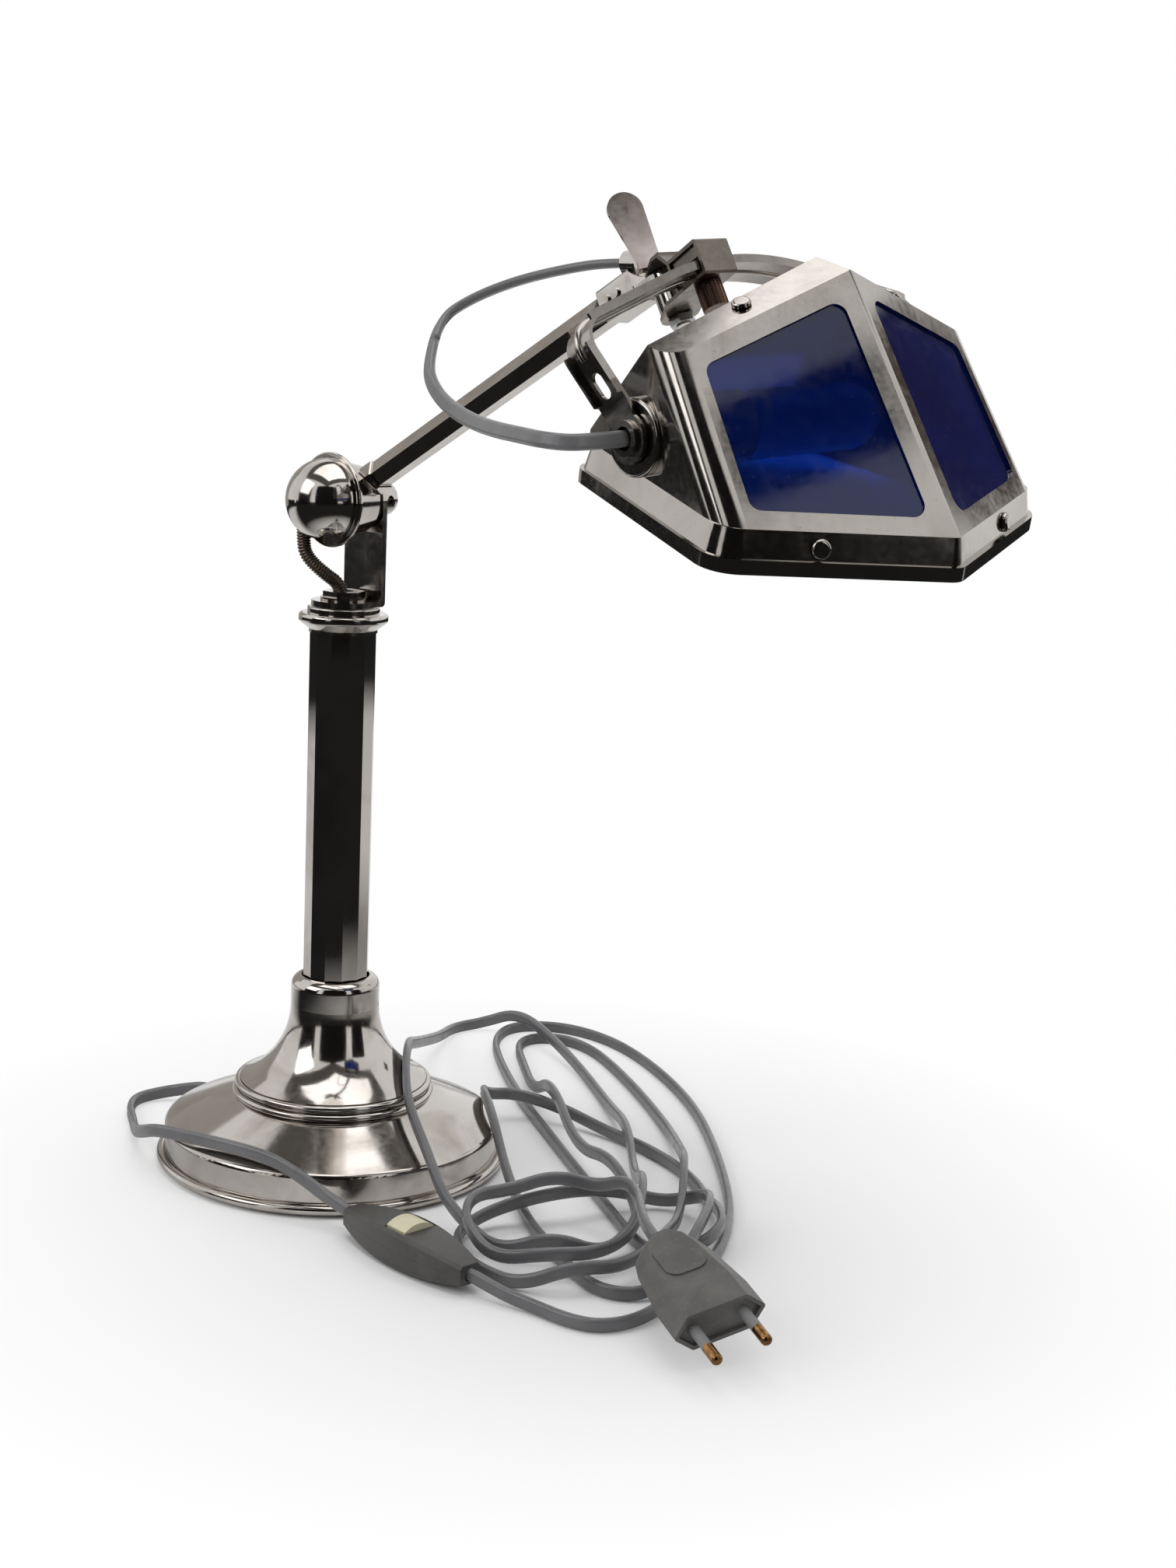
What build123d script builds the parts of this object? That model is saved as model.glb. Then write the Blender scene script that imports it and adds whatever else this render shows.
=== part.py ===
from build123d import *
from math import asin, ceil, cos, degrees, dist, pi, radians, sin, tan
import os

os.makedirs("parts", exist_ok=True)

# Desk lamp: round weighted base, twelve-sided column, ball joint, hexagonal arm,
# swivelling clip with a yoke, and a faceted metal shade with two glass panes.
# Millimetres, +Z up, the origin on the floor at the middle of the base.
# The arm points along +X, the ball joint's round cap faces -Y.

# Fits
RUNNING = 0.08          # radial play of a part that turns on another
SEAT = 0.3              # gap between faces that pass one another
SHEET = 1.0             # spun and pressed sheet metal of the base

# Base
PAD_THICKNESS = 1.8
BASE_RADIUS = 70.0
ROLL_RADIUS = 1.9       # rolled edge of the base
SKIRT_INSET = 3.2        # of the upright skirt from the rolled edge
SKIRT_RADIUS = BASE_RADIUS - SKIRT_INSET
PAD_INSET = 2.8
PAD_RADIUS = SKIRT_RADIUS - PAD_INSET
DOME_EDGE_Z = 15.4
DOME_TOP_Z = 27.2
DOME_TOP_RADIUS = 39.0
BALLAST_TOP_Z = 13.6
BALLAST_BOSS_RADIUS = 17.0

# Bell over the foot of the column
BELL_LIP_RADIUS = 40.1
BELL_BEAD_RADIUS = 39.3
BELL_FLARE_RADIUS = 37.6
BELL_FLARE_Z = 33.2
BELL_WAIST_RADIUS = 17.6
BELL_WAIST_Z = 64.0
BELL_SHOULDER_Z = 71.6
BELL_TOP_Z = 75.8

# Column and its tie tube
COLUMN_RADIUS = 13.03   # over the corners of the twelve sides
COLUMN_SIDES = 12
COLUMN_WALL = 1.2
COLUMN_TOP_Z = 213.6
TIE_RADIUS = 5.0
TIE_BORE = 3.6
TIE_BOTTOM_Z = 3.5
NUT_HEIGHT = 4.0

# Collar and bracket
COLLAR_RADIUS = 17.3
COLLAR_FLANGE_RISE = 4.4        # over the column's top
COLLAR_FLANGE_Z = COLUMN_TOP_Z + COLLAR_FLANGE_RISE
COLLAR_STEP_RADIUS = 14.0
COLLAR_STEP_HEIGHT = 3.0
COLLAR_STEP_Z = COLLAR_FLANGE_Z + COLLAR_STEP_HEIGHT
COLLAR_LIP_HEIGHT = 2.5
COLLAR_TOP_Z = COLLAR_STEP_Z + COLLAR_LIP_HEIGHT
FOOT_RADIUS = 12.6
BRACKET_SHEET = 2.2
BRACKET_HALF_WIDTH = 11.0
PLATE_Y = 9.2           # inner face of the upright plate
SWIVEL_NUT_RADIUS = 9.1
SWIVEL_NUT_HEIGHT = 3.4

# Ball joint, turned about the Y axis at this height
BALL_RISE = 41.2        # over the collar
BALL_Z = COLLAR_TOP_Z + BALL_RISE
DRUM_FRONT = 7.0
DRUM_FRONT_RADIUS = 15.5
RING_STEP = 1.5         # wider than the drum
RING_LIP = 2.6
DRUM_REAR = -7.5
DRUM_REAR_RADIUS = 13.0
RING_RADIUS = DRUM_FRONT_RADIUS + RING_LIP
RING_STEP_RADIUS = DRUM_FRONT_RADIUS + RING_STEP
RING_THICKNESS = 2.4
DRUM_PLAY = 0.4         # of the cap and the arm's sleeve round the drum
CAP_RADIUS = DRUM_FRONT_RADIUS + DRUM_PLAY
CAP_WALL = 1.2
BOLT_RADIUS = 2.5
KNOB_RADIUS = 6.5
KNOB_LENGTH = 10.7
CONDUIT_RADIUS = 2.7
ARM_TILT_DOWN = 50.0    # degrees the arm lowers from where it stands
ARM_TILT_UP = 45.0

# Arm
ARM_RISE = 29.3         # degrees above level
ARM_FLATS = 9.4
ARM_WALL = 0.9
ARM_START = 11.0
ARM_END = 160.0
SLEEVE_FLATS = 10.9
SLEEVE_START = DRUM_FRONT_RADIUS + DRUM_PLAY
SLEEVE_END = 23.0
KNUCKLE_START = 155.0
KNUCKLE_END = 171.0
KNUCKLE_WIDTH = 13.0
KNUCKLE_HEIGHT = 11.6
HEAD_PIVOT = 180.8      # along the arm from the ball
TONGUE_RADIUS = 6.2
PIVOT_BOLT_RADIUS = 2.5

# Head: clip, clamping screw, thumb lever and yoke
HEAD_SWIVEL = 9.6       # degrees the head is turned about its pivot
CLIP_SHEET = 1.2
CLIP_LENGTH = 13.5      # along the strap
STRAP_WIDTH = 13.0      # of the yoke strap that the clip grips
STRAP_PLAY = 0.4        # between the strap and the clip's cheeks
CLIP_ACROSS = STRAP_WIDTH / 2 + STRAP_PLAY + CLIP_SHEET       # half of the clip's outer width
CLIP_TOP = 2.7          # from the strap's crown
CLIP_BOTTOM = -9.4
CLIP_OFFSET = -10.5     # where it grips the strap, from the crown
EAR_RADIUS = 6.75
SCREW_RADIUS = 2.0
SCREW_HEAD_RADIUS = 4.4
SCREW_HEAD_LENGTH = 8.6
LEVER_SHEET = 1.2
LEVER_WIDTH = 12.4
LEVER_TIP = 27.6        # height above the pivot

YOKE_OUT = 22.4         # the strap's plane from the head pivot
YOKE_SIDE = 5.4
CROWN_DROP = 7.4
CROWN_HEIGHT = 59.0     # crown of the yoke above the shade's pivots
CROWN_RADIUS = 97.0
YOKE_HALF = 72.1
YOKE_SHOULDER = 35.5
YOKE_EYE = 63.7
YOKE_EYE_TOP = 9.5
STRAP_SHEET = 1.2
STRAP_LIP = 2.9         # over the turned-up edges
BEAD_RADIUS = 1.5
EYE_RADIUS = 8.0
EYELET_RADIUS = 5.0
EYELET_BARREL = 4.4
EYELET_BORE = 3.7

# Shade, in its own frame: across, towards the nose, up
SHADE_TILT = 41.4       # degrees the nose hangs
PIVOT_BACK = -19.1
PIVOT_UP = 25.1
PIVOT_FACE = 62.3       # outer face of the round bosses
BOSS_RADIUS = 12.2
SHADE_SHEET = 0.8
NOSE_TOP = (0.0, 0.0, 78.5)
RIDGE_BACK = (0.0, -15.6, 78.9)
TOP_CORNER = (64.0, -6.4, 52.9)
GABLE_FOOT = -17.8      # the upright back wall above the sloping one
NOSE_FOOT = (0.0, 62.4, 13.0)
FRONT_FOOT = (67.0, 30.7, 13.0)
BACK_FOOT = (50.6, -53.5, 17.0)
BACK_SEAM = -53.9
SKIRT_HEIGHT = 13.0
SKIRT_FLARE = 2.8
RIM_HEIGHT = 4.6
RIM_THICKNESS = 2.2
CORNER_RADIUS = 9.0
NOSE_RADIUS = 3.5
SEAM_LEDGE = 5.0
WINDOW_FOOT = 6.0       # width of the metal left round the glass
WINDOW_NOSE = 6.5
WINDOW_TOP = 7.0
WINDOW_SIDE = 11.0
WINDOW_CORNER = 4.0
GLASS_LAP = 3.0         # how far the glass reaches behind the metal
GLASS_THICKNESS = 2.0
TAB_SHEET = 0.6
TAB_WIDTH = 8.0
TAB_FOOT = 0.8          # beyond its upright, against the wall
SHADE_SCREW_RADIUS = 3.1

# Lamp holder and bulb, along the shade's pivot axis
HOLDER_RADIUS = 12.5
HOLDER_LENGTH = 33.0
BULB_CAP_RADIUS = 6.8
BULB_RADIUS = 11.0
BULB_END = 38.0

# Cord, switch and plug
CORD = 5.2              # width of the flat cord
SWITCH_LENGTH = 67.8
SWITCH_WIDTH = 18.6
SWITCH_HEIGHT = 14.2
SWITCH_END_WIDTH = 8.8
SWITCH_END_HEIGHT = 7.4
SWITCH_WALL = 1.4
SWITCH_BEVEL = 1.2
SPLIT_GAP = 0.05        # between the halves of the case
ROCKER_LENGTH = 10.4
ROCKER_WIDTH = 13.0
ROCKER_RADIUS = 11.0
ROCKER_TOP = 16.6
ROCKER_TILT = 6.0       # degrees to either side
PLUG_TAPER = [(0.0, 33.7), (14.0, 33.7), (36.0, 28.4), (43.0, 24.6), (47.0, 17.6)]     # distance back, width
PLUG_LENGTH = PLUG_TAPER[-1][0]
PLUG_BEVEL = 6.1        # width of the slanted sides
PLUG_THICKNESS = 13.7
PLUG_EDGE = 1.2
PLUG_RIM = 1.4
PLUG_SINK = 1.6
GRIP_START = 21.0
GRIP_WIDTH = 15.0
GRIP_LENGTH = 19.0
GRIP_RADIUS = 5.0
GRIP_RISE = 0.6
PIN_LENGTH = 19.0
PIN_SPACING = 17.8
PIN_RADIUS = 2.0
PIN_SEAT = 10.0         # how deep the pins sit behind the plug's front
PIN_TIP_RADIUS = 1.6


def within(frame, origin=(0, 0, 0), x_dir=(1, 0, 0), z_dir=(0, 0, 1)):
    """A plane given by its origin and directions in another plane's coordinates."""
    return Plane(frame.location * Plane(origin=origin, x_dir=x_dir, z_dir=z_dir).location)


def mirrored(point, side):
    """A point of the shade on one side of its middle, 1 for +, -1 for -."""
    return (side * point[0], point[1], point[2])


def turned(plane, outline):
    """A solid turned about a plane's normal from (radius, height) points."""
    with BuildPart() as piece:
        with BuildSketch(within(plane, z_dir=(0, -1, 0))):
            with BuildLine():
                Polyline(*outline, close=True)
            make_face()
        revolve(axis=Axis(plane.origin, plane.z_dir))
    return piece.part


def washer(plane, bore, radius, thickness):
    return turned(plane, [(bore, 0), (radius, 0), (radius, thickness), (bore, thickness)])


def hex_nut(plane, bore, flats, thickness):
    with BuildPart() as piece:
        with BuildSketch(plane):
            RegularPolygon(radius=flats / 2, side_count=6, major_radius=False)
            Circle(bore, mode=Mode.SUBTRACT)
        extrude(amount=thickness)
        chamfer(piece.faces().sort_by(Axis(plane.origin, plane.z_dir))[-1].outer_wire().edges(), 0.4)
    return piece.part


FLOOR = Plane.XY
BALL = Plane(origin=(0, 0, BALL_Z), x_dir=(1, 0, 0), z_dir=(0, -1, 0))
rise = radians(ARM_RISE)
ARM = Plane(origin=(0, 0, BALL_Z), x_dir=(cos(rise), 0, sin(rise)), z_dir=(-sin(rise), 0, cos(rise)))
PIVOT = within(ARM, origin=(HEAD_PIVOT, 0, 0))
swivel = radians(HEAD_SWIVEL)
HEAD = within(PIVOT, x_dir=(cos(swivel), -sin(swivel), 0))
CROWN = within(HEAD, origin=(YOKE_OUT, YOKE_SIDE, -CROWN_DROP))
YOKE = within(CROWN, origin=(0, 0, -CROWN_HEIGHT))
tilt = radians(SHADE_TILT)
HUNG = within(YOKE, x_dir=(cos(tilt), 0, -sin(tilt)), z_dir=(sin(tilt), 0, cos(tilt)))
NOSEWARD = within(HUNG, origin=(-PIVOT_BACK, 0, -PIVOT_UP))
ACROSS = NOSEWARD.y_dir
# The shade's sketches have x across it and y towards the nose
SHADE = Plane(origin=NOSEWARD.origin, x_dir=ACROSS * -1, z_dir=NOSEWARD.z_dir)


def shade_point(point):
    """Place (across, towards the nose, up) of the shade in the lamp's own frame."""
    nose = NOSEWARD.x_dir
    return SHADE.origin + ACROSS * point[0] + nose * point[1] + NOSEWARD.z_dir * point[2]


# Base pad: a felt disc with a hole for the nut
with BuildPart() as base_pad:
    with BuildSketch(FLOOR):
        Circle(PAD_RADIUS)
        Circle(13.0, mode=Mode.SUBTRACT)
    extrude(amount=PAD_THICKNESS)
base_pad.part.label = "base_pad"
export_step(base_pad.part, "parts/base_pad.step")

# Cable hole through the back of the base, where the mains cord comes out
CABLE_EXIT_AZIMUTH = 184.0
CABLE_EXIT_Z = 9.4
exit_angle = radians(CABLE_EXIT_AZIMUTH)
CABLE_EXIT = Plane(origin=(SKIRT_RADIUS * cos(exit_angle), SKIRT_RADIUS * sin(exit_angle), CABLE_EXIT_Z),
                   x_dir=(-sin(exit_angle), cos(exit_angle), 0),
                   z_dir=(cos(exit_angle), sin(exit_angle), 0))
GROMMET_RADIUS = 3.5    # of the hole that it sits in

# Base shell: spun sheet with a rolled edge, an upright skirt and a low dome
with BuildPart() as base_shell:
    with BuildSketch(Plane.XZ):
        with BuildLine() as base_line:
            FilletPolyline((SKIRT_RADIUS - SHEET / 2, 2 * ROLL_RADIUS),
                           (SKIRT_RADIUS - SHEET / 2, DOME_EDGE_Z),
                           (DOME_TOP_RADIUS, DOME_TOP_Z - SHEET / 2),
                           (TIE_RADIUS + 0.2, DOME_TOP_Z - SHEET / 2), radius=1.6)
        trace(line_width=SHEET)
        with Locations((BASE_RADIUS - ROLL_RADIUS, 0.8 + ROLL_RADIUS)):
            Circle(ROLL_RADIUS)
        with BuildLine():
            Line((SKIRT_RADIUS - SHEET / 2, 1.2), (SKIRT_RADIUS - SHEET / 2, 6.0))
        trace(line_width=SHEET)
    revolve(axis=Axis.Z)
    with BuildSketch(CABLE_EXIT):
        Circle(GROMMET_RADIUS)
    extrude(amount=4.0, both=True, mode=Mode.SUBTRACT)
base_shell.part.label = "base_shell"
export_step(base_shell.part, "parts/base_shell.step")

# Cast ballast inside the base, with a boss for the tie tube and a groove for the cord
BALLAST_RADIUS = SKIRT_RADIUS - SHEET - 1.4
with BuildPart() as base_ballast:
    with BuildSketch(Plane.XZ):
        with BuildLine():
            Polyline((TIE_RADIUS + 0.15, 9.0), (13.0, 9.0), (13.0, PAD_THICKNESS),
                     (BALLAST_RADIUS, PAD_THICKNESS), (BALLAST_RADIUS, BALLAST_TOP_Z - 1.5),
                     (BALLAST_RADIUS - 2.0, BALLAST_TOP_Z), (40.0, 17.5),
                     (BALLAST_BOSS_RADIUS + 3.0, 19.0), (BALLAST_BOSS_RADIUS, DOME_TOP_Z - SHEET),
                     (TIE_RADIUS + 0.15, DOME_TOP_Z - SHEET), close=True)
        make_face()
    revolve(axis=Axis.Z)
    with BuildSketch(CABLE_EXIT):
        SlotCenterToCenter(5.0, 6.6, rotation=90)
    extrude(amount=-(SKIRT_RADIUS - 10.0), mode=Mode.SUBTRACT)
base_ballast.part.label = "base_ballast"
export_step(base_ballast.part, "parts/base_ballast.step")

# Grommet in the cable hole
with BuildPart() as cable_grommet:
    with BuildSketch(CABLE_EXIT):
        Circle(GROMMET_RADIUS + 1.0)
    extrude(amount=1.4)
    with BuildSketch(CABLE_EXIT):
        Circle(GROMMET_RADIUS - 0.05)
    extrude(amount=-1.3)
    with BuildSketch(CABLE_EXIT):
        Circle(CORD / 2 + 0.03)
    extrude(amount=3.0, both=True, mode=Mode.SUBTRACT)
cable_grommet.part.label = "cable_grommet"
export_step(cable_grommet.part, "parts/cable_grommet.step")

# Bell: lip, groove and bead, a long concave flare and a rounded shoulder
with BuildPart() as base_bell:
    with BuildSketch(Plane.XZ):
        with BuildLine():
            bell_foot = Line((BELL_FLARE_RADIUS - 0.4, DOME_TOP_Z + 1.4),
                             (BELL_FLARE_RADIUS - 0.4, BELL_FLARE_Z - 1.4))
        trace(line_width=SHEET)
        with BuildLine():
            waist = Line((BELL_WAIST_RADIUS - SHEET / 2, BELL_SHOULDER_Z),
                         (BELL_WAIST_RADIUS - SHEET / 2, BELL_WAIST_Z))
            TangentArc(waist @ 1, (BELL_FLARE_RADIUS - SHEET / 2, BELL_FLARE_Z), tangent=waist % 1)
            TangentArc(waist @ 0, (COLUMN_RADIUS + 0.5, BELL_TOP_Z - SHEET / 2), tangent=(0, 1))
        trace(line_width=SHEET)
        with Locations((BELL_LIP_RADIUS - 1.4, DOME_TOP_Z + 1.4)):
            Circle(1.4)
        with Locations((BELL_BEAD_RADIUS - 1.4, BELL_FLARE_Z - 1.3)):
            Circle(1.4)
    revolve(axis=Axis.Z)
base_bell.part.label = "base_bell"
export_step(base_bell.part, "parts/base_bell.step")

# Twelve-sided column tube, standing on the base shell inside the bell
with BuildPart() as column_tube:
    with BuildSketch(Plane.XY.offset(DOME_TOP_Z)):
        RegularPolygon(radius=COLUMN_RADIUS, side_count=COLUMN_SIDES)
        RegularPolygon(radius=COLUMN_RADIUS - COLUMN_WALL, side_count=COLUMN_SIDES, mode=Mode.SUBTRACT)
    extrude(amount=COLUMN_TOP_Z - DOME_TOP_Z)
column_tube.part.label = "column_tube"
export_step(column_tube.part, "parts/column_tube.step")

# Collar: a cap on the column with a spigot, a rounded flange and a step ring
with BuildPart() as column_collar:
    with BuildSketch(Plane.XZ):
        with BuildLine():
            spigot = COLUMN_RADIUS * cos(pi / COLUMN_SIDES) - COLUMN_WALL - 0.1
            Polyline((TIE_RADIUS + 0.1, COLUMN_TOP_Z - 5.0), (spigot, COLUMN_TOP_Z - 5.0),
                     (spigot, COLUMN_TOP_Z), (COLUMN_RADIUS + 0.2, COLUMN_TOP_Z),
                     (COLUMN_RADIUS + 0.2, COLUMN_TOP_Z + 1.2), (COLLAR_RADIUS, COLLAR_FLANGE_Z),
                     (COLLAR_RADIUS, COLLAR_STEP_Z), (COLLAR_STEP_RADIUS, COLLAR_STEP_Z),
                     (COLLAR_STEP_RADIUS, COLLAR_TOP_Z), (TIE_RADIUS + 0.1, COLLAR_TOP_Z), close=True)
        make_face()
    revolve(axis=Axis.Z)
    collar_rims = column_collar.edges().filter_by(GeomType.CIRCLE)
    fillet(collar_rims.filter_by(lambda e: abs(e.radius - COLLAR_RADIUS) < 0.01), 1.3)
    fillet(column_collar.edges().filter_by(GeomType.CIRCLE).filter_by(
        lambda e: abs(e.radius - COLLAR_STEP_RADIUS) < 0.01).sort_by(Axis.Z)[-1], 0.6)
column_collar.part.label = "column_collar"
export_step(column_collar.part, "parts/column_collar.step")

# Bracket: a round foot that turns on the column and an upright plate behind the ball
FOOT_Z = COLLAR_TOP_Z + SEAT
with BuildPart() as arm_bracket:
    with BuildSketch(Plane.XY.offset(FOOT_Z)):
        Circle(FOOT_RADIUS)
        with Locations((0, (PLATE_Y + BRACKET_SHEET) / 2)):
            Rectangle(2 * BRACKET_HALF_WIDTH, PLATE_Y + BRACKET_SHEET)
        Circle(TIE_RADIUS + RUNNING, mode=Mode.SUBTRACT)
    extrude(amount=BRACKET_SHEET)
    with BuildSketch(Plane.XZ.offset(-PLATE_Y)):
        with Locations((0, BALL_Z)):
            Circle(BRACKET_HALF_WIDTH)
        with Locations((0, (FOOT_Z + BALL_Z) / 2)):
            Rectangle(2 * BRACKET_HALF_WIDTH, BALL_Z - FOOT_Z)
        with Locations((0, BALL_Z)):
            Circle(BOLT_RADIUS + RUNNING, mode=Mode.SUBTRACT)
    extrude(amount=-BRACKET_SHEET)
    with BuildSketch(Plane.XY.offset(FOOT_Z)):
        with Locations((0, PLATE_Y + BRACKET_SHEET + 5)):
            Rectangle(60, 10)
    extrude(amount=60, mode=Mode.SUBTRACT)
    fillet(arm_bracket.edges().filter_by(Axis.X).group_by(Axis.Z)[0].sort_by(Axis.Y)[-1], 1.6)
arm_bracket.part.label = "arm_bracket"
export_step(arm_bracket.part, "parts/arm_bracket.step")

# Swivel nut that holds the bracket down, with the cable bore through it
swivel_nut_z = FOOT_Z + BRACKET_SHEET + 0.1
with BuildPart() as swivel_nut:
    with BuildSketch(Plane.XY.offset(swivel_nut_z)):
        Circle(SWIVEL_NUT_RADIUS)
        Circle(TIE_RADIUS, mode=Mode.SUBTRACT)
    extrude(amount=1.2)
    with BuildSketch(Plane.XY.offset(swivel_nut_z + 1.2)):
        RegularPolygon(radius=7.2, side_count=6, major_radius=False)
        Circle(TIE_RADIUS, mode=Mode.SUBTRACT)
    extrude(amount=SWIVEL_NUT_HEIGHT - 1.2)
swivel_nut.part.label = "swivel_nut"
export_step(swivel_nut.part, "parts/swivel_nut.step")

# Tie tube from the ballast to the swivel nut, with the cord inside
with BuildPart() as tie_tube:
    with BuildSketch(Plane.XY.offset(TIE_BOTTOM_Z)):
        Circle(TIE_RADIUS)
        Circle(TIE_BORE, mode=Mode.SUBTRACT)
    extrude(amount=swivel_nut_z + SWIVEL_NUT_HEIGHT - TIE_BOTTOM_Z)
    with BuildSketch(CABLE_EXIT):
        Circle(3.0)
    extrude(amount=-SKIRT_RADIUS, mode=Mode.SUBTRACT)
tie_tube.part.label = "tie_tube"
export_step(tie_tube.part, "parts/tie_tube.step")

base_washer = washer(Plane.XY.offset(7.6), TIE_RADIUS + 0.1, 11.0, 1.4)
base_washer.label = "base_washer"
export_step(base_washer, "parts/base_washer.step")
base_nut = hex_nut(Plane.XY.offset(7.6 - NUT_HEIGHT), TIE_RADIUS, 17.0, NUT_HEIGHT)
base_nut.label = "base_nut"
export_step(base_nut, "parts/base_nut.step")

# Ball joint: drum on the arm, ring, round cap, stud, spring washer and knob
ARM_SIDE = within(ARM, x_dir=(0, 1, 0), z_dir=(1, 0, 0))
with BuildPart() as ball_drum:
    with BuildSketch(Plane.YZ):
        with BuildLine():
            Polyline((-DRUM_FRONT, BALL_Z + DRUM_FRONT_RADIUS), (-DRUM_REAR - 1.6, BALL_Z + DRUM_REAR_RADIUS),
                     (-DRUM_REAR, BALL_Z + DRUM_REAR_RADIUS - 1.8), (-DRUM_REAR, BALL_Z),
                     (2.0, BALL_Z), (2.0, BALL_Z + 10.6), (-DRUM_FRONT, BALL_Z + 11.4), close=True)
        make_face()
    revolve(axis=Axis((0, 0, BALL_Z), (0, 1, 0)))
    with BuildSketch(within(ARM_SIDE, origin=(0, 0, ARM_START))):
        RegularPolygon(radius=ARM_FLATS / 2 + 0.05, side_count=6, major_radius=False)
    extrude(amount=10, mode=Mode.SUBTRACT)
    with BuildSketch(BALL):
        Circle(BOLT_RADIUS)
    extrude(amount=12, both=True, mode=Mode.SUBTRACT)
ball_drum.part.label = "ball_drum"
export_step(ball_drum.part, "parts/ball_drum.step")

RING = BALL.offset(DRUM_FRONT)
with BuildPart() as ball_ring:
    with BuildSketch(RING):
        Circle(RING_RADIUS)
        Circle(11.4, mode=Mode.SUBTRACT)
    extrude(amount=RING_THICKNESS * 0.6)
    with BuildSketch(RING.offset(RING_THICKNESS * 0.6)):
        Circle(RING_STEP_RADIUS)
        Circle(11.4, mode=Mode.SUBTRACT)
    extrude(amount=RING_THICKNESS * 0.4)
    fillet(ball_ring.edges().filter_by(GeomType.CIRCLE).filter_by(lambda e: e.radius > RING_RADIUS - 0.1), 0.5)
ball_ring.part.label = "ball_ring"
export_step(ball_ring.part, "parts/ball_ring.step")

# Round cap with a slot for the cable conduit, as long as the arm's travel
CAP_FACE = DRUM_FRONT + RING_THICKNESS
CONDUIT_LEAN = 33.0     # degrees from straight down to where the conduit enters the cap
SLOT_CLEARANCE = 2.0    # at the ends of the slot, with the arm at its limits
slot_margin = degrees(asin((CONDUIT_RADIUS + SLOT_CLEARANCE) / (CAP_RADIUS - CAP_WALL)))
slot_start = radians(CONDUIT_LEAN + ARM_TILT_UP + slot_margin)
SLOT_PLANE = Plane(origin=(0, 0, BALL_Z), x_dir=(-sin(slot_start), 0, -cos(slot_start)),
                   z_dir=(-cos(slot_start), 0, sin(slot_start)))
CONDUIT_FORWARD = CAP_FACE + CONDUIT_RADIUS + 0.9
with BuildPart() as ball_cap:
    with BuildSketch(Plane.YZ):
        with BuildLine():
            outer = CenterArc((-CAP_FACE, BALL_Z), CAP_RADIUS, 90, 90)
            inner = CenterArc((-CAP_FACE, BALL_Z), CAP_RADIUS - CAP_WALL, 90, 90)
            Line(outer @ 0, inner @ 0)
            Line(outer @ 1, inner @ 1)
        make_face()
    revolve(axis=Axis((0, 0, BALL_Z), (0, -1, 0)))
    with BuildSketch(SLOT_PLANE):
        with Locations((CAP_RADIUS - 2.0, CONDUIT_FORWARD)):
            Rectangle(9.0, 2 * CONDUIT_RADIUS + 1.8)
    revolve(axis=Axis((0, 0, BALL_Z), (0, -1, 0)), mode=Mode.SUBTRACT,
            revolution_arc=ARM_TILT_UP + ARM_TILT_DOWN + 2 * slot_margin)
ball_cap.part.label = "ball_cap"
export_step(ball_cap.part, "parts/ball_cap.step")

# Stud through the drum and the plate, its round head inside the drum
with BuildPart() as pivot_stud:
    with BuildSketch(BALL.offset(-2.0)):
        Circle(7.0)
    extrude(amount=3.0)
    with BuildSketch(BALL.offset(-2.0)):
        Circle(BOLT_RADIUS)
    extrude(amount=-(PLATE_Y + BRACKET_SHEET + KNOB_LENGTH - 6.0))
pivot_stud.part.label = "pivot_stud"
export_step(pivot_stud.part, "parts/pivot_stud.step")

spring_gap = PLATE_Y + DRUM_REAR
spring_washer = turned(BALL.offset(DRUM_REAR - 0.02), [
    (BOLT_RADIUS + 0.1, 0), (9.0, 0), (9.5, -0.5), (8.6, -spring_gap + 0.3), (5.0, -spring_gap + 0.1),
    (BOLT_RADIUS + 0.1, -spring_gap + 0.1)])
spring_washer.label = "spring_washer"
export_step(spring_washer, "parts/spring_washer.step")

# Knob: a rounded turned nut with a hole across it
KNOB_FACE = PLATE_Y + BRACKET_SHEET + SEAT
with BuildPart() as pivot_knob:
    with BuildSketch(BALL.offset(-KNOB_FACE)):
        Circle(KNOB_RADIUS)
    extrude(amount=-KNOB_LENGTH)
    ends = pivot_knob.edges().filter_by(GeomType.CIRCLE).sort_by(Axis.Y)
    fillet(ends[-1], 3.0)
    chamfer(ends[0], 0.8)
    with BuildSketch(BALL.offset(-KNOB_FACE)):
        Circle(BOLT_RADIUS + 0.02)
    extrude(amount=-(KNOB_LENGTH - 4.0), mode=Mode.SUBTRACT)
    with BuildSketch(within(BALL, origin=(0, 0, -KNOB_FACE - KNOB_LENGTH + 5.2), x_dir=(0, 0, 1),
                            z_dir=(1, 0, 0))):
        Circle(1.5)
    extrude(amount=KNOB_RADIUS + 1, both=True, mode=Mode.SUBTRACT)
pivot_knob.part.label = "pivot_knob"
export_step(pivot_knob.part, "parts/pivot_knob.step")

# Conduit from the tie tube up into the round cap
CONDUIT_ROUTE = [(0, 0, -1.5), (0, -0.4, 7.5), (-3.5, -8.5, 13.5), (-8.2, -12.7, 19.5),
                 (-9.4, -13.0, 25.5), (-9.4, -13.0, 31.5)]     # over the collar
with BuildPart() as cable_conduit:
    with BuildLine() as conduit_line:
        FilletPolyline(*[(x, y, z + COLLAR_TOP_Z) for x, y, z in CONDUIT_ROUTE], radius=[6.0, 9.0, 7.0, 9.0])
    with BuildSketch(Plane(origin=conduit_line.line @ 0, z_dir=conduit_line.line % 0)):
        Circle(CONDUIT_RADIUS)
    sweep()
cable_conduit.part.label = "cable_conduit"
export_step(cable_conduit.part, "parts/cable_conduit.step")

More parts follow.
